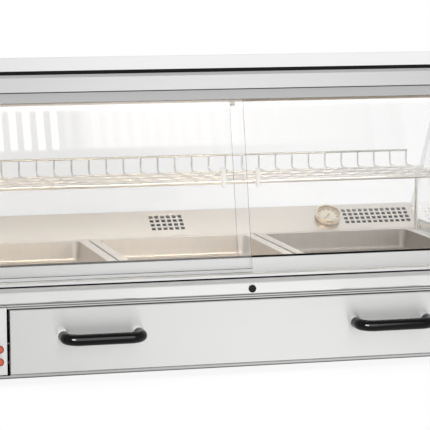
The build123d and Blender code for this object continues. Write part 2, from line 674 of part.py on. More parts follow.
# Heating well under the deck, with saddles for the elements and holes for their tails
ELEMENT_Z = WELL_FLOOR_Z + SADDLE_HEIGHT + ELEMENT_GAP + ELEMENT_RADIUS
tail_places = [(x + side * ELEMENT_SPREAD / 2, ELEMENT_Z) for x in PAN_CENTRES for side in (-1, 1)]
with BuildPart() as heating_well:
    with BuildSketch(Plane.XY.offset(WELL_FOOT_Z)):
        with Locations((0, PAN_MID_Y)):
            Rectangle(2 * (WELL_X + THIN_SHEET), CUT_LENGTH + 2 * (WELL_MARGIN + THIN_SHEET))
    extrude(amount=DECK_FOOT_Z - WELL_FOOT_Z)
    offset(amount=-THIN_SHEET, openings=heating_well.faces().sort_by(Axis.Z)[-1])
    with BuildSketch(Plane.XY.offset(WELL_FLOOR_Z)):
        with Locations((0, PAN_MID_Y)):
            with GridLocations(PAN_PITCH, CUT_LENGTH / SADDLE_COUNT, 3, SADDLE_COUNT):
                Rectangle(SADDLE_WIDTH, SADDLE_THICKNESS)
    extrude(amount=SADDLE_HEIGHT)
    with BuildSketch(Plane.XZ.offset(-WELL_BACK_Y - THIN_SHEET)):
        with Locations(*tail_places):
            Circle(ELEMENT_RADIUS + ELEMENT_GAP)
    extrude(amount=THIN_SHEET, mode=Mode.SUBTRACT)
save(heating_well, "heating_well")

# One hairpin heating element under each pan
element_front = WELL_FRONT_Y + ELEMENT_MARGIN
element_back = WELL_BACK_Y + THIN_SHEET + ELEMENT_TAIL
with BuildPart() as heating_elements:
    for x in PAN_CENTRES:
        left, right = x - ELEMENT_SPREAD / 2, x + ELEMENT_SPREAD / 2
        with BuildLine() as hairpin:
            FilletPolyline(
                (left, element_back, ELEMENT_Z),
                (left, element_front, ELEMENT_Z),
                (right, element_front, ELEMENT_Z),
                (right, element_back, ELEMENT_Z),
                radius=ELEMENT_BEND,
            )
        with BuildSketch(Plane((left, element_back, ELEMENT_Z), z_dir=(0, -1, 0))):
            Circle(ELEMENT_RADIUS)
        sweep(path=hairpin.line)
save(heating_elements, "heating_elements")

# Vent panel: sloped sheet with a short upright foot, closed ends and three blocks of square vents
vent_middle = VENT_LENGTH / 2 + VENT_SHIFT
cheek_back = BACK_Y - SHEET - CHANNEL_GAP
cheek_shoulder = flange_in[1] - SHEET - CHANNEL_WALL
cheek_outline = [
    (VENT_FOOT_Y, DECK_Z),
    (VENT_FOOT_Y, VENT_FOOT_Z),
    (VENT_TOP_Y, VENT_TOP_Z),
    (VENT_TOP_Y, cheek_shoulder),
    (cheek_back, cheek_shoulder),
    (cheek_back, DECK_Z),
]
with BuildPart() as vent_panel:
    with BuildSketch(Plane.YZ.offset(-VENT_HALF)):
        with BuildLine():
            Polyline((VENT_FOOT_Y, DECK_Z), (VENT_FOOT_Y, VENT_FOOT_Z), (VENT_TOP_Y, VENT_TOP_Z))
            offset(amount=THIN_SHEET, side=Side.RIGHT, kind=Kind.INTERSECTION)
        make_face()
    extrude(amount=2 * VENT_HALF)
    with BuildSketch(Plane.YZ.offset(-VENT_HALF)):
        with BuildLine():
            Polyline(*cheek_outline, close=True)
        make_face()
    extrude(amount=THIN_SHEET)
    mirror(about=Plane.YZ)
    with BuildSketch(VENT_PLANE):
        with Locations((0, vent_middle)):
            with GridLocations(VENT_PITCH, VENT_PITCH, CENTRE_COLUMNS, VENT_ROWS):
                Rectangle(VENT_HOLE, VENT_HOLE)
        with Locations((-SIDE_VENT_X, vent_middle), (SIDE_VENT_X, vent_middle)):
            with GridLocations(VENT_PITCH, VENT_PITCH, SIDE_COLUMNS, VENT_ROWS):
                Rectangle(VENT_HOLE, VENT_HOLE)
        with Locations((DIAL_X, DIAL_ALONG)):
            Circle(STEM_TAIL_RADIUS + FIT_GAP)
    extrude(amount=-2 * THIN_SHEET, mode=Mode.SUBTRACT)
save(vent_panel, "vent_panel")

# Thermometer: stem and case, dial, pointer on its post, and lens
DIAL_Y = VENT_FOOT_Y + DIAL_ALONG * cos(VENT_ANGLE)
DIAL_Z = VENT_FOOT_Z + DIAL_ALONG * sin(VENT_ANGLE)
DIAL_PLANE = Plane((DIAL_X, DIAL_Y, DIAL_Z), (1, 0, 0), VENT_PLANE.z_dir)
CASE_TOP = DIAL_STANDOFF + DIAL_CASE
FACE_RADIUS = DIAL_RADIUS - DIAL_WALL
LENS_FOOT = CASE_TOP - DIAL_WALL - LENS_THICKNESS
DIAL_TOP = DIAL_STANDOFF + 2 * DIAL_WALL
with BuildPart() as thermometer_case:
    with BuildSketch(DIAL_PLANE):
        Circle(STEM_RADIUS)
    extrude(amount=DIAL_STANDOFF)
    with BuildSketch(DIAL_PLANE):
        Circle(STEM_TAIL_RADIUS)
    extrude(amount=-STEM_TAIL)
    with BuildSketch(DIAL_PLANE.offset(DIAL_STANDOFF)):
        Circle(DIAL_RADIUS)
    extrude(amount=DIAL_CASE)
    with BuildSketch(DIAL_PLANE.offset(DIAL_STANDOFF + DIAL_WALL)):
        Circle(FACE_RADIUS)
    extrude(amount=DIAL_CASE, mode=Mode.SUBTRACT)
    with BuildSketch(DIAL_PLANE.offset(LENS_FOOT + LENS_THICKNESS)):
        Circle(DIAL_RADIUS)
        Circle(FACE_RADIUS - DIAL_WALL, mode=Mode.SUBTRACT)
    extrude(amount=DIAL_WALL)
save(thermometer_case, "thermometer_case")

with BuildPart() as thermometer_dial:
    with BuildSketch(DIAL_PLANE.offset(DIAL_STANDOFF + DIAL_WALL)):
        Circle(FACE_RADIUS)
    extrude(amount=DIAL_WALL)
    with BuildSketch(DIAL_PLANE.offset(DIAL_TOP)):
        Circle(DIAL_POST_RADIUS)
    extrude(amount=POINTER_GAP + 2 * POINTER_THICKNESS)
save(thermometer_dial, "thermometer_dial")

pointer_outline = [
    (-POINTER_TAIL, -DIAL_POST_RADIUS),
    (POINTER_LENGTH, -POINTER_GAP),
    (POINTER_LENGTH, POINTER_GAP),
    (-POINTER_TAIL, DIAL_POST_RADIUS),
]
with BuildPart() as thermometer_pointer:
    with BuildSketch(DIAL_PLANE.offset(DIAL_TOP + POINTER_GAP)):
        Polygon(*pointer_outline, rotation=POINTER_REST, align=None)
        Circle(POINTER_HUB_RADIUS)
        Circle(DIAL_POST_RADIUS + POINTER_GAP / 2, mode=Mode.SUBTRACT)
    extrude(amount=POINTER_THICKNESS)
save(thermometer_pointer, "thermometer_pointer")

with BuildPart() as thermometer_lens:
    with BuildSketch(DIAL_PLANE.offset(LENS_FOOT)):
        Circle(FACE_RADIUS)
    extrude(amount=LENS_THICKNESS)
save(thermometer_lens, "thermometer_lens")

# Door sill: front ledge, two leaning grooves and the wall between them
WALL_FRONT = DOOR_GLASS + SHOE_OUT
WALL_BACK = TRACK_PITCH - SHOE_OUT
WALL_TOP = -LIP_SEAL_HEIGHT
sill_outline = [
    (SILL_FRONT_Y, SEAL_Z),
    (SILL_FRONT_Y, LEDGE_Z - THIN_SHEET),
    (SILL_FRONT_Y + THIN_SHEET, LEDGE_Z),
    (lean_y(-SHOE_OUT, LEDGE_Z), LEDGE_Z),
    lean_point(-SHOE_OUT, GROOVE_FOOT),
    lean_point(WALL_FRONT, GROOVE_FOOT),
    lean_point(WALL_FRONT, WALL_TOP),
    lean_point(WALL_BACK, WALL_TOP),
    lean_point(WALL_BACK, GROOVE_FOOT),
    lean_point(SILL_INNER, GROOVE_FOOT),
    lean_point(SILL_INNER, WALL_TOP),
    lean_point(SILL_BACK, WALL_TOP),
    (lean_y(SILL_BACK, DECK_Z), DECK_Z),
    (DECK_FRONT_Y, DECK_Z),
    (DECK_FRONT_Y, SEAL_Z),
]
save(bar_along_x(sill_outline, -POST_OUTER_X, POST_OUTER_X), "door_sill")

# Black seals: a flat one between apron and sill, and a wiper strip on the wall between the grooves
lip_seal_outline = [
    lean_point(WALL_FRONT, WALL_TOP),
    lean_point(WALL_BACK, WALL_TOP),
    lean_point(WALL_BACK, 0),
    lean_point(WALL_FRONT, 0),
]
with BuildPart() as sill_seals:
    with BuildSketch(Plane.YZ.offset(-POST_INNER_X)):
        with BuildLine():
            Polyline(*lip_seal_outline, close=True)
        make_face()
    extrude(amount=2 * POST_INNER_X)
    with BuildSketch(Plane.XY.offset(RIM_Z)):
        with Locations((0, (SILL_FRONT_Y + DECK_FRONT_Y) / 2)):
            Rectangle(2 * POST_OUTER_X, DECK_FRONT_Y - SILL_FRONT_Y)
    extrude(amount=SEAL_HEIGHT)
save(sill_seals, "sill_seals")

# Upper track under the canopy's front rail: plumb in front, with a deeper inner lip that hides the lamp
LIP_OUT = -TRACK_GAP
FRONT_WALL = DOOR_GLASS + TRACK_GAP
REAR_WALL = TRACK_PITCH - TRACK_GAP
INNER_WALL = REAR_GLASS_IN + TRACK_GAP
track_front = lean_y(LIP_OUT - TRACK_WALL, TRACK_LIP_Z)
track_outline = [
    (track_front, TRACK_LIP_Z),
    (track_front, CANOPY_Z),
    (lean_y(INNER_WALL + TRACK_WALL, CANOPY_Z), CANOPY_Z),
    (lean_y(INNER_WALL + TRACK_WALL, TRACK_LIP_Z), TRACK_LIP_Z),
    (lean_y(INNER_WALL, TRACK_LIP_Z), TRACK_LIP_Z),
    (lean_y(INNER_WALL, TRACK_ROOF_Z), TRACK_ROOF_Z),
    (lean_y(REAR_WALL, TRACK_ROOF_Z), TRACK_ROOF_Z),
    (lean_y(REAR_WALL, TRACK_LIP_Z), TRACK_LIP_Z),
    (lean_y(FRONT_WALL, TRACK_LIP_Z), TRACK_LIP_Z),
    (lean_y(FRONT_WALL, TRACK_ROOF_Z), TRACK_ROOF_Z),
    (lean_y(LIP_OUT, TRACK_ROOF_Z), TRACK_ROOF_Z),
    (lean_y(LIP_OUT, TRACK_LIP_Z), TRACK_LIP_Z),
]
shield_outline = [
    (lean_y(INNER_WALL, CANOPY_Z - LAMP_SHIELD), CANOPY_Z - LAMP_SHIELD),
    (lean_y(INNER_WALL + TRACK_WALL, CANOPY_Z - LAMP_SHIELD), CANOPY_Z - LAMP_SHIELD),
    (lean_y(INNER_WALL + TRACK_WALL, TRACK_LIP_Z), TRACK_LIP_Z),
    (lean_y(INNER_WALL, TRACK_LIP_Z), TRACK_LIP_Z),
]
with BuildPart() as upper_track:
    add(bar_along_x(track_outline, -POST_OUTER_X, POST_OUTER_X).part)
    add(bar_along_x(shield_outline, -POST_INNER_X + FIT_GAP, POST_INNER_X - FIT_GAP).part)
save(upper_track, "upper_track")

# Leaning posts at both ends of the doors, tenoned into the sill's grooves
tenon_foot = GROOVE_FOOT + FIT_GAP
post_outline = [
    lean_point(-SHOE_OUT + FIT_GAP, tenon_foot),
    lean_point(WALL_FRONT - FIT_GAP, tenon_foot),
    lean_point(WALL_FRONT - FIT_GAP, WALL_TOP),
    lean_point(WALL_BACK + FIT_GAP, WALL_TOP),
    lean_point(WALL_BACK + FIT_GAP, tenon_foot),
    lean_point(SILL_INNER - FIT_GAP, tenon_foot),
    lean_point(SILL_INNER - FIT_GAP, WALL_TOP),
    lean_point(SILL_BACK, WALL_TOP),
    (lean_y(SILL_BACK, TRACK_LIP_Z), TRACK_LIP_Z),
    (lean_y(-SHOE_OUT + FIT_GAP, TRACK_LIP_Z), TRACK_LIP_Z),
]
with BuildPart() as door_posts:
    with BuildSketch(Plane.YZ.offset(POST_INNER_X)):
        with BuildLine():
            Polyline(*post_outline, close=True)
        make_face()
    extrude(amount=POST_WIDTH)
    mirror(about=Plane.YZ)
save(door_posts, "door_posts")

# Sliding doors: a glass pane, a clear shoe on its lower edge and a finger pull on its outer face
DOOR_HALF = POST_INNER_X - DOOR_SIDE_GAP
DOOR_WIDTH = DOOR_HALF + DOOR_OVERLAP / 2
DOOR_TOP = (TRACK_ROOF_Z - DOOR_TOP_GAP - SILL_Z) / LEAN_COS
doors = (("left", -1, DOOR_PLANE), ("right", 1, DOOR_PLANE.offset(-TRACK_PITCH)))
for name, side, plane in doors:
    middle = side * (DOOR_HALF - DOOR_WIDTH / 2)
    with BuildPart() as door_glass:
        with BuildSketch(plane):
            with Locations((middle, (DOOR_TOP + GLASS_FOOT) / 2)):
                RectangleRounded(DOOR_WIDTH, DOOR_TOP - GLASS_FOOT, DOOR_CORNER)
        extrude(amount=-DOOR_GLASS)
    save(door_glass, f"{name}_door_glass")

    with BuildPart() as door_shoe:
        with BuildSketch(plane.offset(SHOE_WALL)):
            with Locations((middle, SHOE_FOOT + SHOE_HEIGHT / 2)):
                Rectangle(DOOR_WIDTH, SHOE_HEIGHT)
        extrude(amount=-DOOR_GLASS - 2 * SHOE_WALL)
        with BuildSketch(plane):
            with Locations((middle, (DOOR_TOP + GLASS_FOOT) / 2)):
                RectangleRounded(DOOR_WIDTH, DOOR_TOP - GLASS_FOOT, DOOR_CORNER)
        extrude(amount=-DOOR_GLASS, mode=Mode.SUBTRACT)
    save(door_shoe, f"{name}_door_shoe")

    pull_x = -side * (DOOR_OVERLAP / 2 - PULL_INSET)
    with BuildPart() as door_pull:
        with BuildSketch(plane):
            with Locations((pull_x, PULL_HEIGHT)):
                SlotOverall(PULL_LENGTH, PULL_WIDTH, rotation=90)
        extrude(amount=PULL_PROUD, taper=PULL_DRAFT)
        with BuildSketch(plane.offset(PULL_PROUD)):
            with Locations((pull_x, PULL_HEIGHT)):
                SlotOverall(PULL_LENGTH - 2 * PULL_RIM, PULL_WIDTH - 2 * PULL_RIM, rotation=90)
        extrude(amount=-PULL_DISH, taper=PULL_DISH_DRAFT, mode=Mode.SUBTRACT)
    save(door_pull, f"{name}_door_pull")

# Fixed side glass, cut to the doors' lean and the guest glass
glass_foot = DECK_Z + CHANNEL_WALL + CHANNEL_GAP
glass_front = SILL_BACK + CHANNEL_GAP
rear_gap = -CHANNEL_GAP
glass_back = guest_point(rear_gap, GUEST_FOOT)
side_top_up = (REAR_RAIL_Z - CHANNEL_GAP - GUEST_Z - rear_gap * GUEST_SIN) / GUEST_COS
side_glass_outline = [
    (lean_y(glass_front, glass_foot), glass_foot),
    (glass_back[0], glass_foot),
    glass_back,
    guest_point(rear_gap, side_top_up),
    (lean_y(glass_front, REAR_RAIL_Z - CHANNEL_GAP), REAR_RAIL_Z - CHANNEL_GAP),
]
for name, start in (("left_side_glass", -SIDE_GLASS_X - GLASS), ("right_side_glass", SIDE_GLASS_X)):
    save(bar_along_x(side_glass_outline, start, start + GLASS), name)

# Channels on the deck that hold the side glass
channel_front = lean_y(glass_front, DECK_Z + CHANNEL_HEIGHT) + CHANNEL_GAP
channel_back = glass_back[0] + CHANNEL_GAP
channel_length = channel_back - channel_front
channel_middle = (SIDE_GLASS_X + GLASS / 2, (channel_front + channel_back) / 2)
with BuildPart() as side_glass_channels:
    with BuildSketch(Plane.XY.offset(DECK_Z)):
        with Locations(channel_middle):
            Rectangle(GLASS + 2 * (CHANNEL_WALL + CHANNEL_GAP), channel_length)
    extrude(amount=CHANNEL_HEIGHT)
    with BuildSketch(Plane.XY.offset(DECK_Z + CHANNEL_WALL)):
        with Locations(channel_middle):
            Rectangle(GLASS + 2 * CHANNEL_GAP, channel_length)
    extrude(amount=CHANNEL_HEIGHT, mode=Mode.SUBTRACT)
    mirror(about=Plane.YZ)
save(side_glass_channels, "side_glass_channels")

# Guest glass and the channel along its foot
GUEST_X = SIDE_GLASS_X + GLASS + GUEST_GLASS_OVERHANG
GUEST_TOP = (REAR_RAIL_Z - CHANNEL_GAP - GUEST_Z - GLASS * GUEST_SIN) / GUEST_COS
with BuildPart() as guest_glass:
    with BuildSketch(GUEST_PLANE):
        with Locations((0, (GUEST_TOP + GUEST_FOOT) / 2)):
            Rectangle(2 * GUEST_X, GUEST_TOP - GUEST_FOOT)
    extrude(amount=GLASS)
save(guest_glass, "guest_glass")

guest_channel_outline = [
    guest_point(-CHANNEL_GAP - CHANNEL_WALL, CHANNEL_FOOT - CHANNEL_WALL),
    guest_point(GLASS + CHANNEL_GAP + CHANNEL_WALL, CHANNEL_FOOT - CHANNEL_WALL),
    guest_point(GLASS + CHANNEL_GAP + CHANNEL_WALL, -GUEST_OUTER_DROP),
    guest_point(GLASS + CHANNEL_GAP, -GUEST_OUTER_DROP),
    guest_point(GLASS + CHANNEL_GAP, CHANNEL_FOOT),
    guest_point(-CHANNEL_GAP, CHANNEL_FOOT),
    guest_point(-CHANNEL_GAP, -GUEST_INNER_DROP),
    guest_point(-CHANNEL_GAP - CHANNEL_WALL, -GUEST_INNER_DROP),
]
save(bar_along_x(guest_channel_outline, -VENT_HALF, VENT_HALF), "guest_glass_channel")

# Canopy rails: bevelled front rail, rear rail over the guest glass and two side rails
front_rail_outline = [
    (CANOPY_FRONT_Y, CANOPY_Z),
    (CANOPY_FRONT_Y, TRIM_Z - CANOPY_BEVEL),
    (CANOPY_FRONT_Y + CANOPY_TRIM_STEP, TRIM_Z),
    (FRONT_RAIL_BACK_Y, TRIM_Z),
    (FRONT_RAIL_BACK_Y, CANOPY_Z),
]
save(bar_along_x(front_rail_outline, -CANOPY_X, CANOPY_X), "canopy_front_rail")
rear_rail_outline = [
    (CANOPY_BACK_Y, REAR_RAIL_Z),
    (CANOPY_BACK_Y, TRIM_Z - CANOPY_BEVEL),
    (CANOPY_BACK_Y - CANOPY_TRIM_STEP, TRIM_Z),
    (REAR_RAIL_FRONT_Y, TRIM_Z),
    (REAR_RAIL_FRONT_Y, REAR_RAIL_Z),
]
save(bar_along_x(rear_rail_outline, -CANOPY_X, CANOPY_X), "canopy_rear_rail")
with BuildPart() as canopy_side_rails:
    with BuildSketch(Plane.XY.offset(REAR_RAIL_Z)):
        with Locations((SIDE_RAIL_X + SIDE_RAIL_WIDTH / 2, (FRONT_RAIL_BACK_Y + REAR_RAIL_FRONT_Y) / 2)):
            Rectangle(SIDE_RAIL_WIDTH, REAR_RAIL_FRONT_Y - FRONT_RAIL_BACK_Y)
    extrude(amount=TRIM_Z - REAR_RAIL_Z)
    mirror(about=Plane.YZ)
save(canopy_side_rails, "canopy_side_rails")

# Ceiling sheet between the rails, and the lamp below it
ceiling_y = (FRONT_RAIL_BACK_Y, REAR_RAIL_FRONT_Y)
ceiling_z = (CANOPY_Z, CANOPY_Z + THIN_SHEET)
save(block((-SIDE_RAIL_X, SIDE_RAIL_X), ceiling_y, ceiling_z), "ceiling_panel")
LAMP_Y = CANOPY_FRONT_Y + LAMP_SETBACK
LAMP_Z = CANOPY_Z - LAMP_DROP
with BuildPart() as lamp_tube:
    with BuildSketch(Plane.YZ.offset(-LAMP_LENGTH / 2)):
        with Locations((LAMP_Y, LAMP_Z)):
            Circle(LAMP_RADIUS)
    extrude(amount=LAMP_LENGTH)
save(lamp_tube, "lamp_tube")
with BuildPart() as lamp_holders:
    for side in (-1, 1):
        with BuildSketch(Plane.YZ.offset(side * LAMP_LENGTH / 2)):
            with Locations((LAMP_Y, LAMP_Z)):
                Circle(HOLDER_WIDTH / 2)
            with Locations((LAMP_Y, (LAMP_Z + CANOPY_Z) / 2)):
                Rectangle(HOLDER_WIDTH, CANOPY_Z - LAMP_Z)
        extrude(amount=side * HOLDER_LENGTH)
save(lamp_holders, "lamp_holders")

# Top panel framed by a black edge trim
trim_x = CANOPY_X - CANOPY_TRIM_STEP
trim_front = CANOPY_FRONT_Y + CANOPY_TRIM_STEP
trim_back = CANOPY_BACK_Y - CANOPY_TRIM_STEP
trim_middle = (0, (trim_front + trim_back) / 2)
with BuildPart() as top_trim:
    with BuildSketch(Plane.XY.offset(TRIM_Z)):
        with Locations(trim_middle):
            Rectangle(2 * trim_x, trim_back - trim_front)
            Rectangle(2 * (trim_x - TRIM_WIDTH), trim_back - trim_front - 2 * TRIM_WIDTH, mode=Mode.SUBTRACT)
    extrude(amount=TOP_THICKNESS)
save(top_trim, "top_trim")
with BuildPart() as top_panel:
    with BuildSketch(Plane.XY.offset(TRIM_Z)):
        with Locations(trim_middle):
            Rectangle(2 * (trim_x - TRIM_WIDTH), trim_back - trim_front - 2 * TRIM_WIDTH)
    extrude(amount=TOP_THICKNESS)
save(top_panel, "top_panel")

# Wire shelf: cross wires on rods, behind a thicker front rail
wire_places = [(index - (WIRE_COUNT - 1) / 2) * WIRE_PITCH for index in range(WIRE_COUNT)]
wire_front = RAIL_Y + RAIL_RADIUS
wire_back = FENCE_Y - FENCE_BEND - 2 * WIRE_RADIUS
first_rod_y = wire_back - ROD_RADIUS
rod_places = [(first_rod_y - index * SHELF_DEPTH / ROD_COUNT, ROD_Z) for index in range(ROD_COUNT)]
with BuildPart() as shelf_grid:
    with BuildSketch(Plane.XZ.offset(-wire_front)):
        with Locations(*[(x, SHELF_Z) for x in wire_places]):
            Circle(WIRE_RADIUS)
    extrude(amount=wire_front - wire_back)
    with BuildSketch(Plane.YZ.offset(-LEG_X - LEG_RADIUS)):
        with Locations(*rod_places):
            Circle(ROD_RADIUS)
        with Locations((RAIL_Y, RAIL_Z)):
            Circle(RAIL_RADIUS)
    extrude(amount=2 * (LEG_X + LEG_RADIUS))
save(shelf_grid, "shelf_grid")

# Fence at the guest side: each cross wire turns up and ends under the top rod
fence_top = SHELF_Z + FENCE_HEIGHT
with BuildPart() as shelf_fence:
    for x in wire_places:
        with BuildLine() as upright:
            FilletPolyline(
                (x, wire_back, SHELF_Z),
                (x, FENCE_Y, SHELF_Z),
                (x, FENCE_Y, fence_top - ROD_RADIUS - WELD_GAP),
                radius=FENCE_BEND,
            )
        with BuildSketch(Plane((x, wire_back, SHELF_Z), z_dir=(0, 1, 0))):
            Circle(WIRE_RADIUS)
        sweep(path=upright.line)
    with BuildSketch(Plane.YZ.offset(-FENCE_HALF - ROD_RADIUS)):
        with Locations((FENCE_Y, fence_top)):
            Circle(ROD_RADIUS)
    extrude(amount=2 * (FENCE_HALF + ROD_RADIUS))
save(shelf_fence, "shelf_fence")

# Shelf legs: a round bar bent down at both ends, standing on the deck beside the pans
with BuildPart() as shelf_legs:
    with BuildLine() as leg:
        FilletPolyline(
            (LEG_X, FENCE_Y + LEG_OVERRUN, DECK_Z),
            (LEG_X, FENCE_Y + LEG_OVERRUN, LEG_Z),
            (LEG_X, RAIL_Y - LEG_OVERRUN, LEG_Z),
            (LEG_X, RAIL_Y - LEG_OVERRUN, DECK_Z),
            radius=LEG_BEND,
        )
    with BuildSketch(Plane((LEG_X, FENCE_Y + LEG_OVERRUN, DECK_Z))):
        Circle(LEG_RADIUS)
    sweep(path=leg.line)
    mirror(about=Plane.YZ)
save(shelf_legs, "shelf_legs")

# Removable pans: drawn sheet with a flat rim and a turned-down hem
opening = (PAN_WIDTH - 2 * PAN_RIM, PAN_LENGTH - 2 * PAN_RIM)
under_rim = (PAN_WIDTH - 2 * PAN_SHEET, PAN_LENGTH - 2 * PAN_SHEET)
pan_draft = degrees(atan2(PAN_DRAFT, PAN_DEPTH))


def bowl(x, size, depth, foot_radius):
    """A tapered block with rounded corners and foot, hanging from the pans' rim."""
    with BuildPart() as block_of_bowl:
        with BuildSketch(Plane.XY.offset(PAN_Z)):
            with Locations((x, PAN_MID_Y)):
                RectangleRounded(*size, PAN_CORNER)
        extrude(amount=-depth, taper=pan_draft)
        fillet(block_of_bowl.faces().sort_by(Axis.Z)[0].edges(), radius=foot_radius)
    return block_of_bowl


for name, x in zip(("left_pan", "middle_pan", "right_pan"), PAN_CENTRES):
    outside = bowl(x, [side + 2 * PAN_SHEET for side in opening], PAN_DEPTH, PAN_FOOT_RADIUS)
    inside = bowl(x, opening, PAN_DEPTH - PAN_SHEET, PAN_FOOT_RADIUS - PAN_SHEET)
    with BuildPart() as pan:
        with BuildSketch(Plane.XY.offset(PAN_Z)):
            with Locations((x, PAN_MID_Y)):
                RectangleRounded(PAN_WIDTH, PAN_LENGTH, PAN_CORNER)
        extrude(amount=-PAN_HEM)
        with BuildSketch(Plane.XY.offset(PAN_Z - PAN_SHEET)):
            with Locations((x, PAN_MID_Y)):
                RectangleRounded(*under_rim, PAN_CORNER - PAN_SHEET)
        extrude(amount=-PAN_HEM, mode=Mode.SUBTRACT)
        add(outside.part)
        add(inside.part, mode=Mode.SUBTRACT)
    save(pan, name)

# Drawer front, tray, slides and handles
with BuildPart() as drawer_front:
    with BuildSketch(Plane.XZ.offset(-FRONT_Y - DRAWER_FOLD)):
        with Locations((DRAWER_X, (DRAWER_TOP_Z + FRONT_FOOT_Z) / 2)):
            Rectangle(DRAWER_WIDTH, DRAWER_TOP_Z - FRONT_FOOT_Z)
    extrude(amount=DRAWER_FOLD)
    fillet(drawer_front.faces().sort_by(Axis.Y)[0].edges(), radius=DRAWER_EDGE)
    offset(amount=-THIN_SHEET, openings=drawer_front.faces().sort_by(Axis.Y)[-1])
save(drawer_front, "drawer_front")

with BuildPart() as drawer_tray:
    with BuildSketch(Plane.XY.offset(TRAY_FOOT_Z)):
        with Locations((DRAWER_X, TRAY_FRONT_Y + TRAY_LENGTH / 2)):
            Rectangle(2 * TRAY_HALF, TRAY_LENGTH)
    extrude(amount=TRAY_TOP_Z - TRAY_FOOT_Z)
    offset(amount=-THIN_SHEET, openings=drawer_tray.faces().sort_by(Axis.Z)[-1])
save(drawer_tray, "drawer_tray")

slide_low = RUNNER_Z - RUNNER_HEIGHT / 2
slide_high = RUNNER_Z + RUNNER_HEIGHT / 2
tray_side_x = DRAWER_X + TRAY_HALF
with BuildPart() as drawer_slides:
    with BuildSketch(Plane.XZ.offset(-TRAY_FRONT_Y)):
        with Locations((tray_side_x + SLIDE_THICKNESS / 2, RUNNER_Z)):
            Rectangle(SLIDE_THICKNESS, RUNNER_HEIGHT)
    extrude(amount=-SLIDE_LENGTH)
    mirror(about=Plane.YZ.offset(DRAWER_X))
save(drawer_slides, "drawer_slides")

# Runners on the bay walls: channels that the slides run in
web_x = BAY_RIGHT_X - SHEET
lip_x = tray_side_x + RUNNER_LIP_GAP
low = slide_low - RUNNER_GAP
high = slide_high + RUNNER_GAP
with BuildPart() as drawer_runners:
    with BuildSketch(Plane.XZ.offset(-TRAY_FRONT_Y - RUNNER_GAP)):
        with BuildLine():
            Polyline(
                (BAY_RIGHT_X, low - THIN_SHEET),
                (lip_x, low - THIN_SHEET),
                (lip_x, low),
                (web_x, low),
                (web_x, high),
                (lip_x, high),
                (lip_x, high + THIN_SHEET),
                (BAY_RIGHT_X, high + THIN_SHEET),
                close=True,
            )
        make_face()
    extrude(amount=-RUNNER_LENGTH)
    mirror(about=Plane.YZ.offset(DRAWER_X))
save(drawer_runners, "drawer_runners")

# Bow handles, black-coated round bar screwed to the drawer front
for name, side in (("left_handle", -1), ("right_handle", 1)):
    handle_x = DRAWER_X + side * (DRAWER_WIDTH / 2 - HANDLE_INSET)
    bow = [
        (handle_x - HANDLE_SPAN / 2, FRONT_Y, HANDLE_Z),
        (handle_x - HANDLE_SPAN / 2, FRONT_Y - HANDLE_REACH, HANDLE_Z),
        (handle_x + HANDLE_SPAN / 2, FRONT_Y - HANDLE_REACH, HANDLE_Z),
        (handle_x + HANDLE_SPAN / 2, FRONT_Y, HANDLE_Z),
    ]
    save(round_bar(bow, HANDLE_BEND, HANDLE_RADIUS), name)
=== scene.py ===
"""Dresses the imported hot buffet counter: brushed steel, clear glass, plated wire and a warm lamp."""

import json
from math import cos, pi, radians, sin

import bmesh
import bpy
import numpy as np
from mathutils import Matrix, Vector


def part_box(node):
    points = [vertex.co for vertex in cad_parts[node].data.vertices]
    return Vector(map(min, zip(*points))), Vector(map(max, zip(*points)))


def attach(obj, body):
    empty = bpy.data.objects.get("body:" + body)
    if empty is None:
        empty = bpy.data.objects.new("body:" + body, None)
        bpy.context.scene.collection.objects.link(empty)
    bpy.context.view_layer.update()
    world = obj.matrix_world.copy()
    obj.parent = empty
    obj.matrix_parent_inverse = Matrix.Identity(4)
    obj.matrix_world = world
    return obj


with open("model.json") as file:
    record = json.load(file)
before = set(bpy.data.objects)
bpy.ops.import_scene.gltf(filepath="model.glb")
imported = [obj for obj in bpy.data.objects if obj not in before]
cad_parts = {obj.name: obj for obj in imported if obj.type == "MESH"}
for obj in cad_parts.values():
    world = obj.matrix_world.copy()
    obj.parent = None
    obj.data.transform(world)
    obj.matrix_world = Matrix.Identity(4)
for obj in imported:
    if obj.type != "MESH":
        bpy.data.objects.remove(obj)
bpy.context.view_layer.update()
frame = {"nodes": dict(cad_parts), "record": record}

MM = 0.001
nodes = frame["nodes"]

# Camera: where the photograph was taken from, in metres and degrees

CAMERA_PLACE = Vector((-0.9405, -3.7311, 0.7150))
CAMERA_YAW = radians(14.432)
CAMERA_PITCH = radians(7.168)
CAMERA_ROLL = radians(-0.176)
FOCAL_PIXELS = 2132.1
IMAGE_PIXELS = 430
SENSOR = 36.0
FARTHEST = 50.0


def make_camera():
    """A camera turned right by the yaw, down by the pitch and about its own axis by the roll."""
    forward = Vector((sin(CAMERA_YAW) * cos(CAMERA_PITCH), cos(CAMERA_YAW) * cos(CAMERA_PITCH), -sin(CAMERA_PITCH)))
    level = Vector((cos(CAMERA_YAW), -sin(CAMERA_YAW), 0))
    upright = level.cross(forward)
    right = level * cos(CAMERA_ROLL) + upright * sin(CAMERA_ROLL)
    up = upright * cos(CAMERA_ROLL) - level * sin(CAMERA_ROLL)
    data = bpy.data.cameras.new("camera")
    data.sensor_width = SENSOR
    data.lens = FOCAL_PIXELS * SENSOR / IMAGE_PIXELS
    data.clip_end = FARTHEST
    camera = bpy.data.objects.new("camera", data)
    bpy.context.scene.collection.objects.link(camera)
    turn = Matrix((right, up, -forward)).transposed().to_4x4()
    camera.matrix_world = Matrix.Translation(CAMERA_PLACE) @ turn
    bpy.context.scene.camera = camera


# Node and colour helpers


def srgb(code):
    """Linear colour of an sRGB hex code, with alpha 1."""
    parts = [int(code[i:i + 2], 16) / 255 for i in (1, 3, 5)]
    return tuple(c / 12.92 if c <= 0.04045 else ((c + 0.055) / 1.055) ** 2.4 for c in parts) + (1.0,)


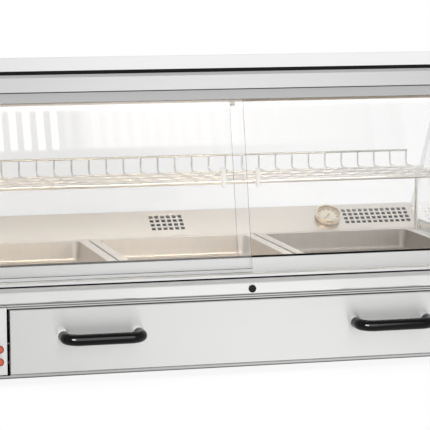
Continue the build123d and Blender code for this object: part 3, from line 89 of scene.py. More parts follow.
def node(tree, kind, settings=None, values=None, links=None, stops=()):
    """Adds a node of a kind, with its settings, its socket values, the sockets or nodes that feed it and the two
    stops of a colour ramp."""
    made = tree.nodes.new("ShaderNode" + kind)
    for name, value in (settings or {}).items():
        setattr(made, name, value)
    for socket, value in (values or {}).items():
        made.inputs[socket].default_value = value
    for socket, source in (links or {}).items():
        tree.links.new(getattr(source, "outputs", (source,))[0], made.inputs[socket])
    for at, (place, colour) in enumerate(stops):
        made.color_ramp.elements[at].position = place
        made.color_ramp.elements[at].color = srgb(colour)
    return made


def span(start, end, low=0.0, high=1.0):
    """Socket values of a map that takes start to low and end to high."""
    return {"From Min": start, "From Max": end, "To Min": low, "To Max": high}


SMOOTH = {"interpolation_type": "SMOOTHSTEP"}
NUMBER = {"data_type": "FLOAT"}
COLOUR = {"data_type": "RGBA"}
TIMES = {"operation": "MULTIPLY"}
DIVIDED = {"operation": "DIVIDE"}
PLUS = {"operation": "ADD"}
MINUS = {"operation": "SUBTRACT"}
TIMES_PLUS = {"operation": "MULTIPLY_ADD"}
POWER = {"operation": "POWER"}
FRACTION = {"operation": "FRACT"}
SIZE = {"operation": "ABSOLUTE"}
LENGTH = {"operation": "LENGTH"}
COSINE = {"operation": "COSINE"}
ANGLE = {"operation": "ARCTAN2"}
ALONG = {"operation": "DOT_PRODUCT"}
OVER = {"operation": "GREATER_THAN"}
UNDER = {"operation": "LESS_THAN"}
WITHIN = {"operation": "COMPARE"}
LARGER = {"operation": "MAXIMUM"}


def new_material(name):
    """An empty node material and its tree."""
    material = bpy.data.materials.new(name)
    material.use_nodes = True
    material.node_tree.nodes.clear()
    return material, material.node_tree


def surfaced(material, shader):
    """The material, with a shader as its surface."""
    node(material.node_tree, "OutputMaterial", links={"Surface": shader})
    return material


# Light: a white room, soft boxes and a pale floor that keeps the shadow

ROOM_LIGHT = 0.55
PANELS_ROUND = 20.0
PANEL_TURN = radians(14.3)
PANEL_TONES = span(-1.0, 1.0, 0.66, 1.18)
SIDE_BRIGHT = 0.86
SIDE_SPREAD = span(0.7, 0.3)
BACK_TONES = span(radians(7.0), radians(14.0), 0.8, 0.97)
BACK_SPREAD = span(-0.3, -0.8)
ROOF_TONES = span(-0.22, 0.08, 1.0, 0.56)
ROOF_RISE = span(0.37, 0.75)
WALL_SPREAD = span(0.55, 0.75)
WALL_FOOT = span(0.286, 0.303)
WALL_TOP = span(0.395, 0.37)
WALL_BRIGHT = 1.3
STRIP_FOOT = span(0.3545, 0.3575)
STRIP_BRIGHT = 2.0
SCREEN_START = span(radians(4.0), radians(7.0))
SCREEN_END = span(radians(20.4), radians(10.0))
SCREEN_DARK = 0.05
BAR_PITCH = radians(0.39)
BAR_TURN = radians(9.49)
BAR_EDGE = span(-0.3, 0.25)
BAR_MERGE = span(radians(10.72), radians(10.85), 0.0, 0.88)
BAR_TONES = span(0.334, 0.3365, 0.0, 2.0)
VEIL_TONES = span(radians(11.4), radians(11.65), 0.2, 0.52)
FLOOR_SHADE = "#f6f6f6"
FLOOR_REACH = 1.6
FLOOR_DROP = 0.2 * MM
FLOOR_SQUEEZE = (0.72, 1.0, 1.0)
FLOOR_FADE = span(0.7, 1.3)
FLOOR_GLOW = 0.92
POOL_X = 0.16
POOL_TONES = span(0.0, 0.75, 1.2, 0.8)
HANDLES = ("left_handle", "right_handle")
COUNTER_MIDDLE = (0.0, 0.0, 0.25)
DECK_MIDDLE = (0.0, 0.0, 0.2)
HANDLE_MIDDLE = (0.0, -0.3, 0.1)


def make_world():
    """White where the background is seen, and a plain grey light on everything else.
    Reflections show a studio: soft panels whose brightness follows a cosine of the turn, a wall behind that is
    dimmer to the left, duller sides, a dimmer part overhead in front, and, high in front, a bright wall with a
    dark screen, white bars in the screen's upper part that merge to the right, and a bright strip above them."""
    world = bpy.data.worlds.new("white_room")
    bpy.context.scene.world = world
    world.use_nodes = True
    tree = world.node_tree
    tree.nodes.clear()
    way = node(tree, "SeparateXYZ", links={0: node(tree, "TexCoord").outputs["Generated"]})
    height = way.outputs["Z"]
    ahead = node(tree, "Math", TIMES, {1: -1.0}, {0: way.outputs["Y"]})
    rise = node(tree, "Math", DIVIDED, links={0: height, 1: ahead})
    turn = node(tree, "Math", ANGLE, links={0: way.outputs["X"], 1: ahead})
    back_turn = node(tree, "Math", ANGLE, links={0: way.outputs["X"], 1: way.outputs["Y"]})

    phase = node(tree, "Math", TIMES_PLUS, {1: PANELS_ROUND, 2: -PANELS_ROUND * PANEL_TURN}, {0: turn})
    wave = node(tree, "Math", COSINE, links={0: phase})
    panels = node(tree, "MapRange", values=PANEL_TONES, links={"Value": wave})
    beside = node(tree, "MapRange", SMOOTH, SIDE_SPREAD, {"Value": ahead})
    front = node(tree, "Mix", NUMBER, {3: SIDE_BRIGHT}, {0: beside, 2: panels})
    back = node(tree, "MapRange", SMOOTH, BACK_TONES, {"Value": back_turn})
    behind = node(tree, "MapRange", SMOOTH, BACK_SPREAD, {"Value": ahead})
    sides = node(tree, "Mix", NUMBER, links={0: behind, 2: front, 3: back})
    roof = node(tree, "MapRange", SMOOTH, ROOF_TONES, {"Value": ahead})
    high = node(tree, "MapRange", SMOOTH, ROOF_RISE, {"Value": height})
    room = node(tree, "Mix", NUMBER, links={0: high, 2: sides, 3: roof})

    bar_step = 2 * pi / BAR_PITCH
    bar_phase = node(tree, "Math", TIMES_PLUS, {1: bar_step, 2: -bar_step * BAR_TURN}, {0: turn})
    bar_wave = node(tree, "Math", COSINE, links={0: bar_phase})
    bars = node(tree, "MapRange", SMOOTH, BAR_EDGE, {"Value": bar_wave})
    merging = node(tree, "MapRange", SMOOTH, BAR_MERGE, {"Value": turn})
    veil = node(tree, "MapRange", SMOOTH, VEIL_TONES, {"Value": turn})
    merged = node(tree, "Mix", NUMBER, links={0: merging, 2: bars, 3: veil})
    standing = node(tree, "MapRange", SMOOTH, BAR_TONES, {"Value": rise})
    window = node(tree, "Math", TIMES, links={0: merged, 1: standing})
    screen = node(tree, "Math", PLUS, {1: SCREEN_DARK}, {0: window})
    start = node(tree, "MapRange", SMOOTH, SCREEN_START, {"Value": turn})
    end = node(tree, "MapRange", SMOOTH, SCREEN_END, {"Value": turn})
    spread = node(tree, "Math", TIMES, links={0: start, 1: end})
    wall = node(tree, "Mix", NUMBER, {2: WALL_BRIGHT}, {0: spread, 3: screen})
    above = node(tree, "MapRange", SMOOTH, STRIP_FOOT, {"Value": rise})
    lit_wall = node(tree, "Mix", NUMBER, {3: STRIP_BRIGHT}, {0: above, 2: wall})
    foot = node(tree, "MapRange", SMOOTH, WALL_FOOT, {"Value": rise})
    top = node(tree, "MapRange", SMOOTH, WALL_TOP, {"Value": rise})
    tall = node(tree, "Math", TIMES, links={0: foot, 1: top})
    facing = node(tree, "MapRange", SMOOTH, WALL_SPREAD, {"Value": ahead})
    share = node(tree, "Math", TIMES, links={0: tall, 1: facing})
    change = node(tree, "Mix", NUMBER, {2: 1.0}, {0: share, 3: lit_wall})
    mirrored = node(tree, "Math", TIMES, links={0: room, 1: change})

    path = node(tree, "LightPath")
    seen = node(tree, "Math", LARGER, links={0: path.outputs["Is Camera Ray"],
                                             1: path.outputs["Is Transmission Ray"]})
    plain = node(tree, "Mix", NUMBER, {2: ROOM_LIGHT, 3: 1.0}, {0: seen})
    strength = node(tree, "Mix", NUMBER, links={0: path.outputs["Is Glossy Ray"], 2: plain, 3: mirrored})
    background = node(tree, "Background", values={"Color": srgb("#ffffff")}, links={"Strength": strength})
    node(tree, "OutputWorld", links={"Surface": background})


def make_floor():
    """A square of pale floor that gives way to the white background away from the counter. In reflections it
    is brightest in front of the drawer's middle."""
    corners = [(x * FLOOR_REACH, y * FLOOR_REACH, -FLOOR_DROP) for x, y in ((-1, -1), (1, -1), (1, 1), (-1, 1))]
    mesh = bpy.data.meshes.new("floor")
    mesh.from_pydata(corners, [], [(0, 1, 2, 3)])
    floor = bpy.data.objects.new("floor", mesh)
    bpy.context.scene.collection.objects.link(floor)
    material, tree = new_material("pale_floor")
    place = node(tree, "TexCoord").outputs["Object"]
    squeeze = node(tree, "Mapping", values={"Scale": FLOOR_SQUEEZE}, links={"Vector": place})
    distance = node(tree, "VectorMath", LENGTH, links={0: squeeze}).outputs["Value"]
    away = node(tree, "MapRange", SMOOTH, FLOOR_FADE, {"Value": distance})
    sideways = node(tree, "SeparateXYZ", links={0: place}).outputs["X"]
    offset = node(tree, "Math", MINUS, {1: POOL_X}, {0: sideways})
    apart = node(tree, "Math", SIZE, links={0: offset})
    pool = node(tree, "MapRange", SMOOTH, POOL_TONES, {"Value": apart})
    glossy = node(tree, "LightPath").outputs["Is Glossy Ray"]
    glow = node(tree, "Mix", NUMBER, {2: 1.0}, {0: glossy, 3: pool})
    paint = node(tree, "BsdfDiffuse", values={"Color": srgb(FLOOR_SHADE)})
    white = node(tree, "Emission", values={"Color": srgb("#ffffff")}, links={"Strength": glow})
    pale = node(tree, "MixShader", values={0: FLOOR_GLOW}, links={1: paint, 2: white})
    mixed = node(tree, "MixShader", links={0: away, 1: pale, 2: node(tree, "BsdfTransparent")})
    mesh.materials.append(surfaced(material, mixed))


def soft_box(name, place, aim, size, watts, glossed=()):
    """A rectangular soft light at a place, turned to face a point. It lights everything and isn't mirrored, or
    is only a reflection on the glossed nodes."""
    data = bpy.data.lights.new(name, "AREA")
    data.shape = "RECTANGLE"
    data.size, data.size_y = size
    data.energy = watts
    light = bpy.data.objects.new(name, data)
    bpy.context.scene.collection.objects.link(light)
    way = Vector(aim) - Vector(place)
    light.matrix_world = Matrix.Translation(place) @ way.to_track_quat("-Z", "Y").to_matrix().to_4x4()
    light.visible_camera = False
    light.visible_glossy = bool(glossed)
    light.visible_diffuse = not glossed
    if glossed:
        light.light_linking.receiver_collection = bpy.data.collections.new(name)
        for piece in glossed:
            light.light_linking.receiver_collection.objects.link(nodes[piece])


def make_lights():
    """One broad box above, one in front on the left, a weaker one on the right, and two that only gloss the
    handles: a dim one before them for the stripe and a bright one on the left for the glints."""
    soft_box("top_box", (0.0, -0.3, 2.6), DECK_MIDDLE, (3.2, 2.6), 52)
    soft_box("front_box", (-2.4, -3.0, 1.9), COUNTER_MIDDLE, (2.2, 1.6), 34)
    soft_box("side_box", (2.9, -1.4, 1.5), COUNTER_MIDDLE, (1.6, 1.4), 14)
    soft_box("gloss_box", (-0.35, -1.9, 0.72), HANDLE_MIDDLE, (2.6, 1.44), 75, HANDLES)
    soft_box("glint_box", (-2.1, -2.46, 0.98), HANDLE_MIDDLE, (1.2, 0.9), 260, HANDLES)


# Materials

DOOR_LEAN = radians(12.0)
GUEST_LEAN = radians(31.4)
VENT_SLOPE = radians(33.34)
SIDE_FACING = (1.0, 0.0, 0.0)
DOOR_FACING = (0.0, -cos(DOOR_LEAN), sin(DOOR_LEAN))
DOOR_UPWARD = (0.0, sin(DOOR_LEAN), cos(DOOR_LEAN))
GUEST_FACING = (0.0, cos(GUEST_LEAN), sin(GUEST_LEAN))
VENT_FACING = (0.0, -sin(VENT_SLOPE), cos(VENT_SLOPE))
GUEST_FOOT = (337.5, 197.0)
GUEST_HALF = 3.0
GUEST_MIDDLE = GUEST_FOOT[0] * cos(GUEST_LEAN) + GUEST_FOOT[1] * sin(GUEST_LEAN) + GUEST_HALF
PAN_RIM = 157.0
BEVEL = {"samples": 6}
EDGE = {"Radius": 1.0 * MM}
RELIEF = 0.2 * MM
NOISE_LOW, NOISE_HIGH = 0.3, 0.7


def streaked(tree, size_mm, values):
    """The height on a piece, and a noise with grains of a size along X, Y and Z."""
    place = node(tree, "TexCoord").outputs["Object"]
    height = node(tree, "SeparateXYZ", links={0: place}).outputs["Z"]
    scale = [1 / (size * MM) for size in size_mm]
    stretch = node(tree, "Mapping", values={"Scale": scale}, links={"Vector": place})
    lines = node(tree, "TexNoise", values={"Scale": 1.0, **values}, links={"Vector": stretch})
    return height, lines


def brushed_steel(name, dark, light, along, roughness, grain_mm=(90.0, 2.4), bump=0.005, worn_mm=1000.0,
                  shaded_inside=None):
    """Brushed stainless sheet: belt-ground lines one way give a faintly streaky tone, and a gloss that is
    stretched across them. The real lines are about 0.2 mm apart; they are drawn coarser so that they show.
    Above the worn height, where arms and cloths rub a ledge, the gloss is gone. A sheet given an inside colour has
    painted shade on the face towards -Y, the dark inside seen through the vent's holes."""
    swing, cloud_share, worn_gloss, turned_in = 0.03, 0.3, 0.66, -0.5
    below_mm, above_mm = 2.0, 1.5
    material, tree = new_material(name)
    size_mm = [grain_mm[1]] * 3
    size_mm["xyz".index(along)] = grain_mm[0]
    height, lines = streaked(tree, size_mm, {"Detail": 5.0, "Roughness": 0.62})
    place = node(tree, "TexCoord").outputs["Object"]
    clouds = node(tree, "TexNoise", values={"Scale": 2.6, "Detail": 2.0}, links={"Vector": place})
    both = node(tree, "Mix", NUMBER, {0: cloud_share}, {2: lines, 3: clouds})
    tone = node(tree, "ValToRGB", links={"Fac": both}, stops=((NOISE_LOW, dark), (NOISE_HIGH, light)))
    # Painted shade on the inner face, seen through the vent's holes.
    if shaded_inside:
        facing = node(tree, "SeparateXYZ", links={0: node(tree, "TexCoord").outputs["Normal"]})
        hidden = node(tree, "Math", UNDER, {1: turned_in}, {0: facing.outputs["Y"]})
        tone = node(tree, "Mix", COLOUR, {7: srgb(shaded_inside)}, {0: hidden, 6: tone}).outputs[2]
    rough = node(tree, "MapRange", values=span(NOISE_LOW, NOISE_HIGH, roughness - swing, roughness + swing),
                 links={"Value": lines})
    worn = node(tree, "MapRange", values=span((worn_mm - below_mm) * MM, (worn_mm + above_mm) * MM),
                links={"Value": height})
    gloss = node(tree, "Mix", NUMBER, {3: worn_gloss}, {0: worn, 2: rough})
    edge = node(tree, "Bevel", BEVEL, EDGE)
    relief = node(tree, "Bump", values={"Strength": bump, "Distance": RELIEF},
                  links={"Height": lines, "Normal": edge})
    across = node(tree, "Tangent", {"direction_type": "RADIAL", "axis": along.upper()})
    shader = node(tree, "BsdfPrincipled", values={"Metallic": 1.0, "Anisotropic": 0.9},
                  links={"Base Color": tone, "Roughness": gloss, "Normal": relief, "Tangent": across})
    return surfaced(material, shader)


def drawn_pan(name, dark, light, side, rim, roughness):
    """Deep-drawn stainless pan: satin walls with faint draw lines, long side walls made darker and browner with
    painted shade, and a rim scuffed by lifting, which scatters the lamp's light and so looks paler. The way a wall
    faces picks out the side walls, and the height picks out the rim."""
    swing, scuffed_shine = 0.04, 0.35
    start_mm, end_mm = PAN_RIM - 1.2, PAN_RIM - 0.3
    material, tree = new_material(name)
    height, lines = streaked(tree, (6.0, 6.0, 60.0), {"Detail": 4.0})
    bright = node(tree, "ValToRGB", links={"Fac": lines}, stops=((NOISE_LOW, dark), (NOISE_HIGH, light)))
    facing = node(tree, "SeparateXYZ", links={0: node(tree, "TexCoord").outputs["Normal"]})
    sideways = node(tree, "Math", SIZE, links={0: facing.outputs["X"]})
    side_shade = node(tree, "MapRange", SMOOTH, span(0.3, 0.9), {"Value": sideways})
    walls = node(tree, "Mix", COLOUR, {7: srgb(side)}, {0: side_shade, 6: bright}).outputs[2]
    top = node(tree, "MapRange", values=span(start_mm * MM, end_mm * MM), links={"Value": height})
    tone = node(tree, "Mix", COLOUR, {7: srgb(rim)}, {0: top, 6: walls}).outputs[2]
    shine = node(tree, "MapRange", values=span(0.0, 1.0, 1.0, scuffed_shine), links={"Value": top})
    rough = node(tree, "MapRange", values=span(NOISE_LOW, NOISE_HIGH, roughness - swing, roughness + swing),
                 links={"Value": lines})
    edge = node(tree, "Bevel", BEVEL, EDGE)
    relief = node(tree, "Bump", values={"Strength": 0.02, "Distance": RELIEF},
                  links={"Height": lines, "Normal": edge})
    shader = node(tree, "BsdfPrincipled", links={"Base Color": tone, "Metallic": shine, "Roughness": rough,
                                                 "Normal": relief})
    return surfaced(material, shader)


def base_steel(name, tone, edge_shade_colour, foot_mm, edge_top_mm):
    """Brushed stainless base tray: its grey tone and the darker band along its lowest edge are painted shade.
    The height picks out the edge, and the brushed lines make it ragged."""
    rag, edge_shade_gloss, above_edge_gloss = 0.8 * MM, 0.5, 0.36
    material, tree = new_material(name)
    height, lines = streaked(tree, (90.0, 2.4, 2.4), {"Detail": 5.0})
    ragged = node(tree, "Math", TIMES_PLUS, {1: rag, 2: -rag / 2}, {0: lines})
    level = node(tree, "Math", PLUS, links={0: height, 1: ragged})
    above_edge = node(tree, "MapRange", values=span(foot_mm * MM, edge_top_mm * MM), links={"Value": level})
    colour = node(tree, "ValToRGB", links={"Fac": above_edge}, stops=((0.0, edge_shade_colour), (1.0, tone)))
    rough = node(tree, "MapRange", values=span(0.0, 1.0, edge_shade_gloss, above_edge_gloss), links={"Value": above_edge})
    edge = node(tree, "Bevel", BEVEL, EDGE)
    shader = node(tree, "BsdfPrincipled", values={"Metallic": 1.0},
                  links={"Base Color": colour, "Roughness": rough, "Normal": edge})
    return surfaced(material, shader)


def ribbed_strip(name, dark, light, roughness, rib_mm, crown_mm, foot_mm):
    """Rolled stainless strip above a foot height, dark overall with painted shade from the apron: shallow ribs along
    it, with painted shade in the grooves and a painted highlight on the crowns, by a cosine of the height. Below the
    foot the sheet is plain. Long streaks make the ribs uneven."""
    swing, streak_share, plain = 0.04, 0.12, 0.5
    material, tree = new_material(name)
    height, streaks = streaked(tree, (700.0, 3.4, 3.4), {"Detail": 5.0})
    step = 2 * pi / (rib_mm * MM)
    phase = node(tree, "Math", TIMES_PLUS, {1: step, 2: -step * crown_mm * MM}, {0: height})
    wave = node(tree, "Math", COSINE, links={0: phase})
    crowns = node(tree, "MapRange", values=span(-1.0, 1.0), links={"Value": wave})
    above = node(tree, "Math", OVER, {1: foot_mm * MM}, {0: height})
    ribs = node(tree, "Mix", NUMBER, {2: plain}, {0: above, 3: crowns})
    uneven = node(tree, "Mix", NUMBER, {0: streak_share}, {2: ribs, 3: streaks})
    # Painted shade in the grooves and a painted highlight on the crowns.
    tone = node(tree, "ValToRGB", links={"Fac": uneven}, stops=((0.2, dark), (0.8, light)))
    rough = node(tree, "MapRange", values=span(0.0, 1.0, roughness + swing, roughness - swing),
                 links={"Value": streaks})
    relief = node(tree, "Bump", values={"Strength": 0.1, "Distance": RELIEF}, links={"Height": ribs})
    shader = node(tree, "BsdfPrincipled", values={"Metallic": 1.0},
                  links={"Base Color": tone, "Roughness": rough, "Normal": relief})
    return surfaced(material, shader)


def heated_track(name, metal, shade, lamp_glow, lip_mm, foot_mm):
    """Anodised aluminium track with a bare lip below it: the lip is straw-coloured with the lamp's warm light
    painted on, and darker with painted shade where it goes up behind the track. The height picks the tone."""
    lip_shine, track_shine = 0.1, 1.0
    material, tree = new_material(name)
    height, lines = streaked(tree, (120.0, 2.0, 2.0), {"Detail": 4.0})
    up = node(tree, "MapRange", values=span(foot_mm * MM, lip_mm * MM), links={"Value": height})
    tint = node(tree, "ValToRGB", links={"Fac": up}, stops=((0.35, lamp_glow), (0.95, shade)))
    above = node(tree, "Math", OVER, {1: lip_mm * MM}, {0: height})
    tone = node(tree, "Mix", COLOUR, {7: srgb(metal)}, {0: above, 6: tint}).outputs[2]
    shine = node(tree, "MapRange", values=span(0.0, 1.0, lip_shine, track_shine), links={"Value": above})
    rough = node(tree, "MapRange", values=span(0.0, 1.0, 0.36, 0.44), links={"Value": lines})
    edge = node(tree, "Bevel", BEVEL, EDGE)
    shader = node(tree, "BsdfPrincipled", links={"Base Color": tone, "Metallic": shine, "Roughness": rough,
                                                 "Normal": edge})
    return surfaced(material, shader)


def speckled(name, dark, light, roughness, grain_mm, bump=0.08, values=None):
    """A moulded, painted or plated surface: a fine even grain moves the tone, gloss and relief a little."""
    swing, smoothest = 0.05, 0.02
    material, tree = new_material(name)
    place = node(tree, "TexCoord").outputs["Object"]
    grain = node(tree, "TexNoise", values={"Scale": 1 / (grain_mm * MM), "Detail": 4.0}, links={"Vector": place})
    tone = node(tree, "ValToRGB", links={"Fac": grain}, stops=((NOISE_LOW, dark), (NOISE_HIGH, light)))
    gloss = span(NOISE_LOW, NOISE_HIGH, max(smoothest, roughness - swing), roughness + swing)
    rough = node(tree, "MapRange", values=gloss, links={"Value": grain})
    edge = node(tree, "Bevel", BEVEL, EDGE)
    relief = node(tree, "Bump", values={"Strength": bump, "Distance": RELIEF / 2},
                  links={"Height": grain, "Normal": edge})
    shader = node(tree, "BsdfPrincipled", values=values,
                  links={"Base Color": tone, "Roughness": rough, "Normal": relief})
    return surfaced(material, shader)


def clear_glass(name, tint, edge, facing, mirror=0.055, ground=0.4, middle_mm=0.0, half_mm=0.0):
    """Float glass: its two faces reflect a little, more the flatter they are looked at, and the rest is clear.
    The ground edges, the faces square to the pane, show as grey-green lines; where the pane's middle plane and
    half thickness are given, the edge is clearer between its two arrises. Wiping leaves a faintly uneven gloss."""
    fresnel, face_on, core_share = 5.0, 0.5, 0.12
    core_end, arris_start, least_mm = 0.55, 0.95, 0.001
    material, tree = new_material(name)
    place = node(tree, "TexCoord").outputs["Object"]
    wipe = node(tree, "TexNoise", values={"Scale": 5.0, "Detail": 3.0}, links={"Vector": place})
    gloss = node(tree, "MapRange", values=span(NOISE_LOW, NOISE_HIGH, 0.005, 0.02), links={"Value": wipe})
    turned = node(tree, "LayerWeight", values={"Blend": 0.5}).outputs["Facing"]
    steep = node(tree, "Math", POWER, {1: fresnel}, {0: turned})
    seen = node(tree, "MapRange", values=span(0.0, 1.0, mirror), links={"Value": steep})
    normal = node(tree, "NewGeometry").outputs["True Normal"]
    square = node(tree, "VectorMath", ALONG, {1: facing}, {0: normal}).outputs["Value"]
    flat = node(tree, "Math", SIZE, links={0: square})
    face = node(tree, "Math", OVER, {1: face_on}, {0: flat})
    depth = node(tree, "VectorMath", ALONG, {1: facing}, {0: place}).outputs["Value"]
    off = node(tree, "Math", MINUS, {1: middle_mm * MM}, {0: depth})
    apart = node(tree, "Math", SIZE, links={0: off})
    core, rim = core_end * half_mm * MM, (arris_start * half_mm + least_mm) * MM
    arris = node(tree, "MapRange", values=span(core, rim, core_share * ground, ground), links={"Value": apart})
    alpha = node(tree, "Mix", NUMBER, links={0: face, 2: arris, 3: seen})
    tone = node(tree, "Mix", COLOUR, {6: srgb(edge), 7: srgb(tint)}, {0: face}).outputs[2]
    shader = node(tree, "BsdfPrincipled", links={"Base Color": tone, "Metallic": face, "Roughness": gloss,
                                                 "Alpha": alpha})
    return surfaced(material, shader)


def shoe_plastic(name, dark, light, foot_mm, height_mm, line_mm):
    """Extruded clear acrylic on the doors' lower edge: pale between, with a dark line of painted shade where each
    lip turns over. The height along the leaning glass picks out the two lines."""
    middle = 0.5
    material, tree = new_material(name)
    place = node(tree, "TexCoord").outputs["Object"]
    up = node(tree, "VectorMath", ALONG, {1: DOOR_UPWARD}, {0: place}).outputs["Value"]
    share = node(tree, "MapRange", values=span(foot_mm * MM, (foot_mm + height_mm) * MM), links={"Value": up})
    off = node(tree, "Math", MINUS, {1: middle}, {0: share})
    apart = node(tree, "Math", SIZE, links={0: off})
    rim = node(tree, "MapRange", values=span(middle - line_mm / height_mm, middle), links={"Value": apart})
    tone = node(tree, "ValToRGB", links={"Fac": rim}, stops=((0.0, light), (0.45, dark)))
    swirl = node(tree, "TexNoise", values={"Scale": 1 / (6 * MM), "Detail": 3.0}, links={"Vector": place})
    rough = node(tree, "MapRange", values=span(0.0, 1.0, 0.08, 0.2), links={"Value": swirl})
    shader = node(tree, "BsdfPrincipled", values={"Alpha": 0.8}, links={"Base Color": tone, "Roughness": rough})
    return surfaced(material, shader)


def lit_tube(name, colour, strength, glass):
    """A lit lamp tube: frosted glass with its own even light."""
    material, tree = new_material(name)
    place = node(tree, "TexCoord").outputs["Object"]
    frost = node(tree, "TexNoise", values={"Scale": 1 / (3 * MM)}, links={"Vector": place})
    rough = node(tree, "MapRange", values=span(0.0, 1.0, 0.25, 0.5), links={"Value": frost})
    shader = node(tree, "BsdfPrincipled", values={"Base Color": srgb(glass), "Emission Color": srgb(colour),
                                                  "Emission Strength": strength}, links={"Roughness": rough})
    return surfaced(material, shader)


def lamp_lens(name, rim, heart):
    """Red moulded lens over a dim lamp: an orange heart, a dark red rim of painted shade where the dome turns away,
    and a finely pebbled skin.
    """
    material, tree = new_material(name)
    turned = node(tree, "LayerWeight", values={"Blend": 0.5}).outputs["Facing"]
    tone = node(tree, "ValToRGB", links={"Fac": turned}, stops=((0.05, heart), (0.62, rim)))
    place = node(tree, "TexCoord").outputs["Object"]
    pebbles = node(tree, "TexNoise", values={"Scale": 1 / (1.6 * MM), "Detail": 2.0}, links={"Vector": place})
    relief = node(tree, "Bump", values={"Strength": 0.25, "Distance": RELIEF}, links={"Height": pebbles})
    shader = node(tree, "BsdfPrincipled", values={"Roughness": 0.14, "Emission Strength": 0.05},
                  links={"Base Color": tone, "Emission Color": tone, "Normal": relief})
    return surfaced(material, shader)


def printed_dial(name, paper, ink, centre, radius_mm):
    """Cream enamel with printed marks: a fine tick at every sixtieth of the turn and a bold one at every
    twelfth, on a ring, by the angle and the distance from the dial's centre in its own plane."""
    ring_place, ring_half = 0.9, 0.012
    material, tree = new_material(name)
    place = node(tree, "TexCoord").outputs["Object"]
    moved = node(tree, "VectorMath", MINUS, {1: centre}, {0: place})
    flat = node(tree, "VectorRotate", {"rotation_type": "X_AXIS", "invert": True}, {"Angle": VENT_SLOPE},
                {"Vector": moved})
    axes = node(tree, "SeparateXYZ", links={0: flat})
    turn = node(tree, "Math", ANGLE, links={0: axes.outputs["Y"], 1: axes.outputs["X"]})
    across = node(tree, "CombineXYZ", links={0: axes.outputs["X"], 1: axes.outputs["Y"]})
    reach = node(tree, "VectorMath", LENGTH, links={0: across}).outputs["Value"]
    share = node(tree, "Math", DIVIDED, {1: radius_mm * MM}, {0: reach})
    inked = node(tree, "Math", WITHIN, {1: ring_place, 2: ring_half}, {0: share})
    for count, width, inner, outer in ((60, 0.26, 0.78, 0.88), (12, 0.14, 0.66, 0.88)):
        step = node(tree, "Math", TIMES, {1: count / (2 * pi)}, {0: turn})
        part = node(tree, "Math", FRACTION, links={0: step})
        near = node(tree, "Math", WITHIN, {1: 0.5, 2: width}, {0: part})
        ring = node(tree, "Math", WITHIN, {1: (inner + outer) / 2, 2: (outer - inner) / 2}, {0: share})
        tick = node(tree, "Math", TIMES, links={0: near, 1: ring})
        inked = node(tree, "Math", LARGER, links={0: inked, 1: tick})
    tone = node(tree, "Mix", COLOUR, {6: srgb(paper), 7: srgb(ink)}, {0: inked}).outputs[2]
    glaze = node(tree, "TexNoise", values={"Scale": 1 / (2 * MM)}, links={"Vector": place})
    rough = node(tree, "MapRange", values=span(0.0, 1.0, 0.3, 0.5), links={"Value": glaze})
    shader = node(tree, "BsdfPrincipled", links={"Base Color": tone, "Roughness": rough})
    return surfaced(material, shader)


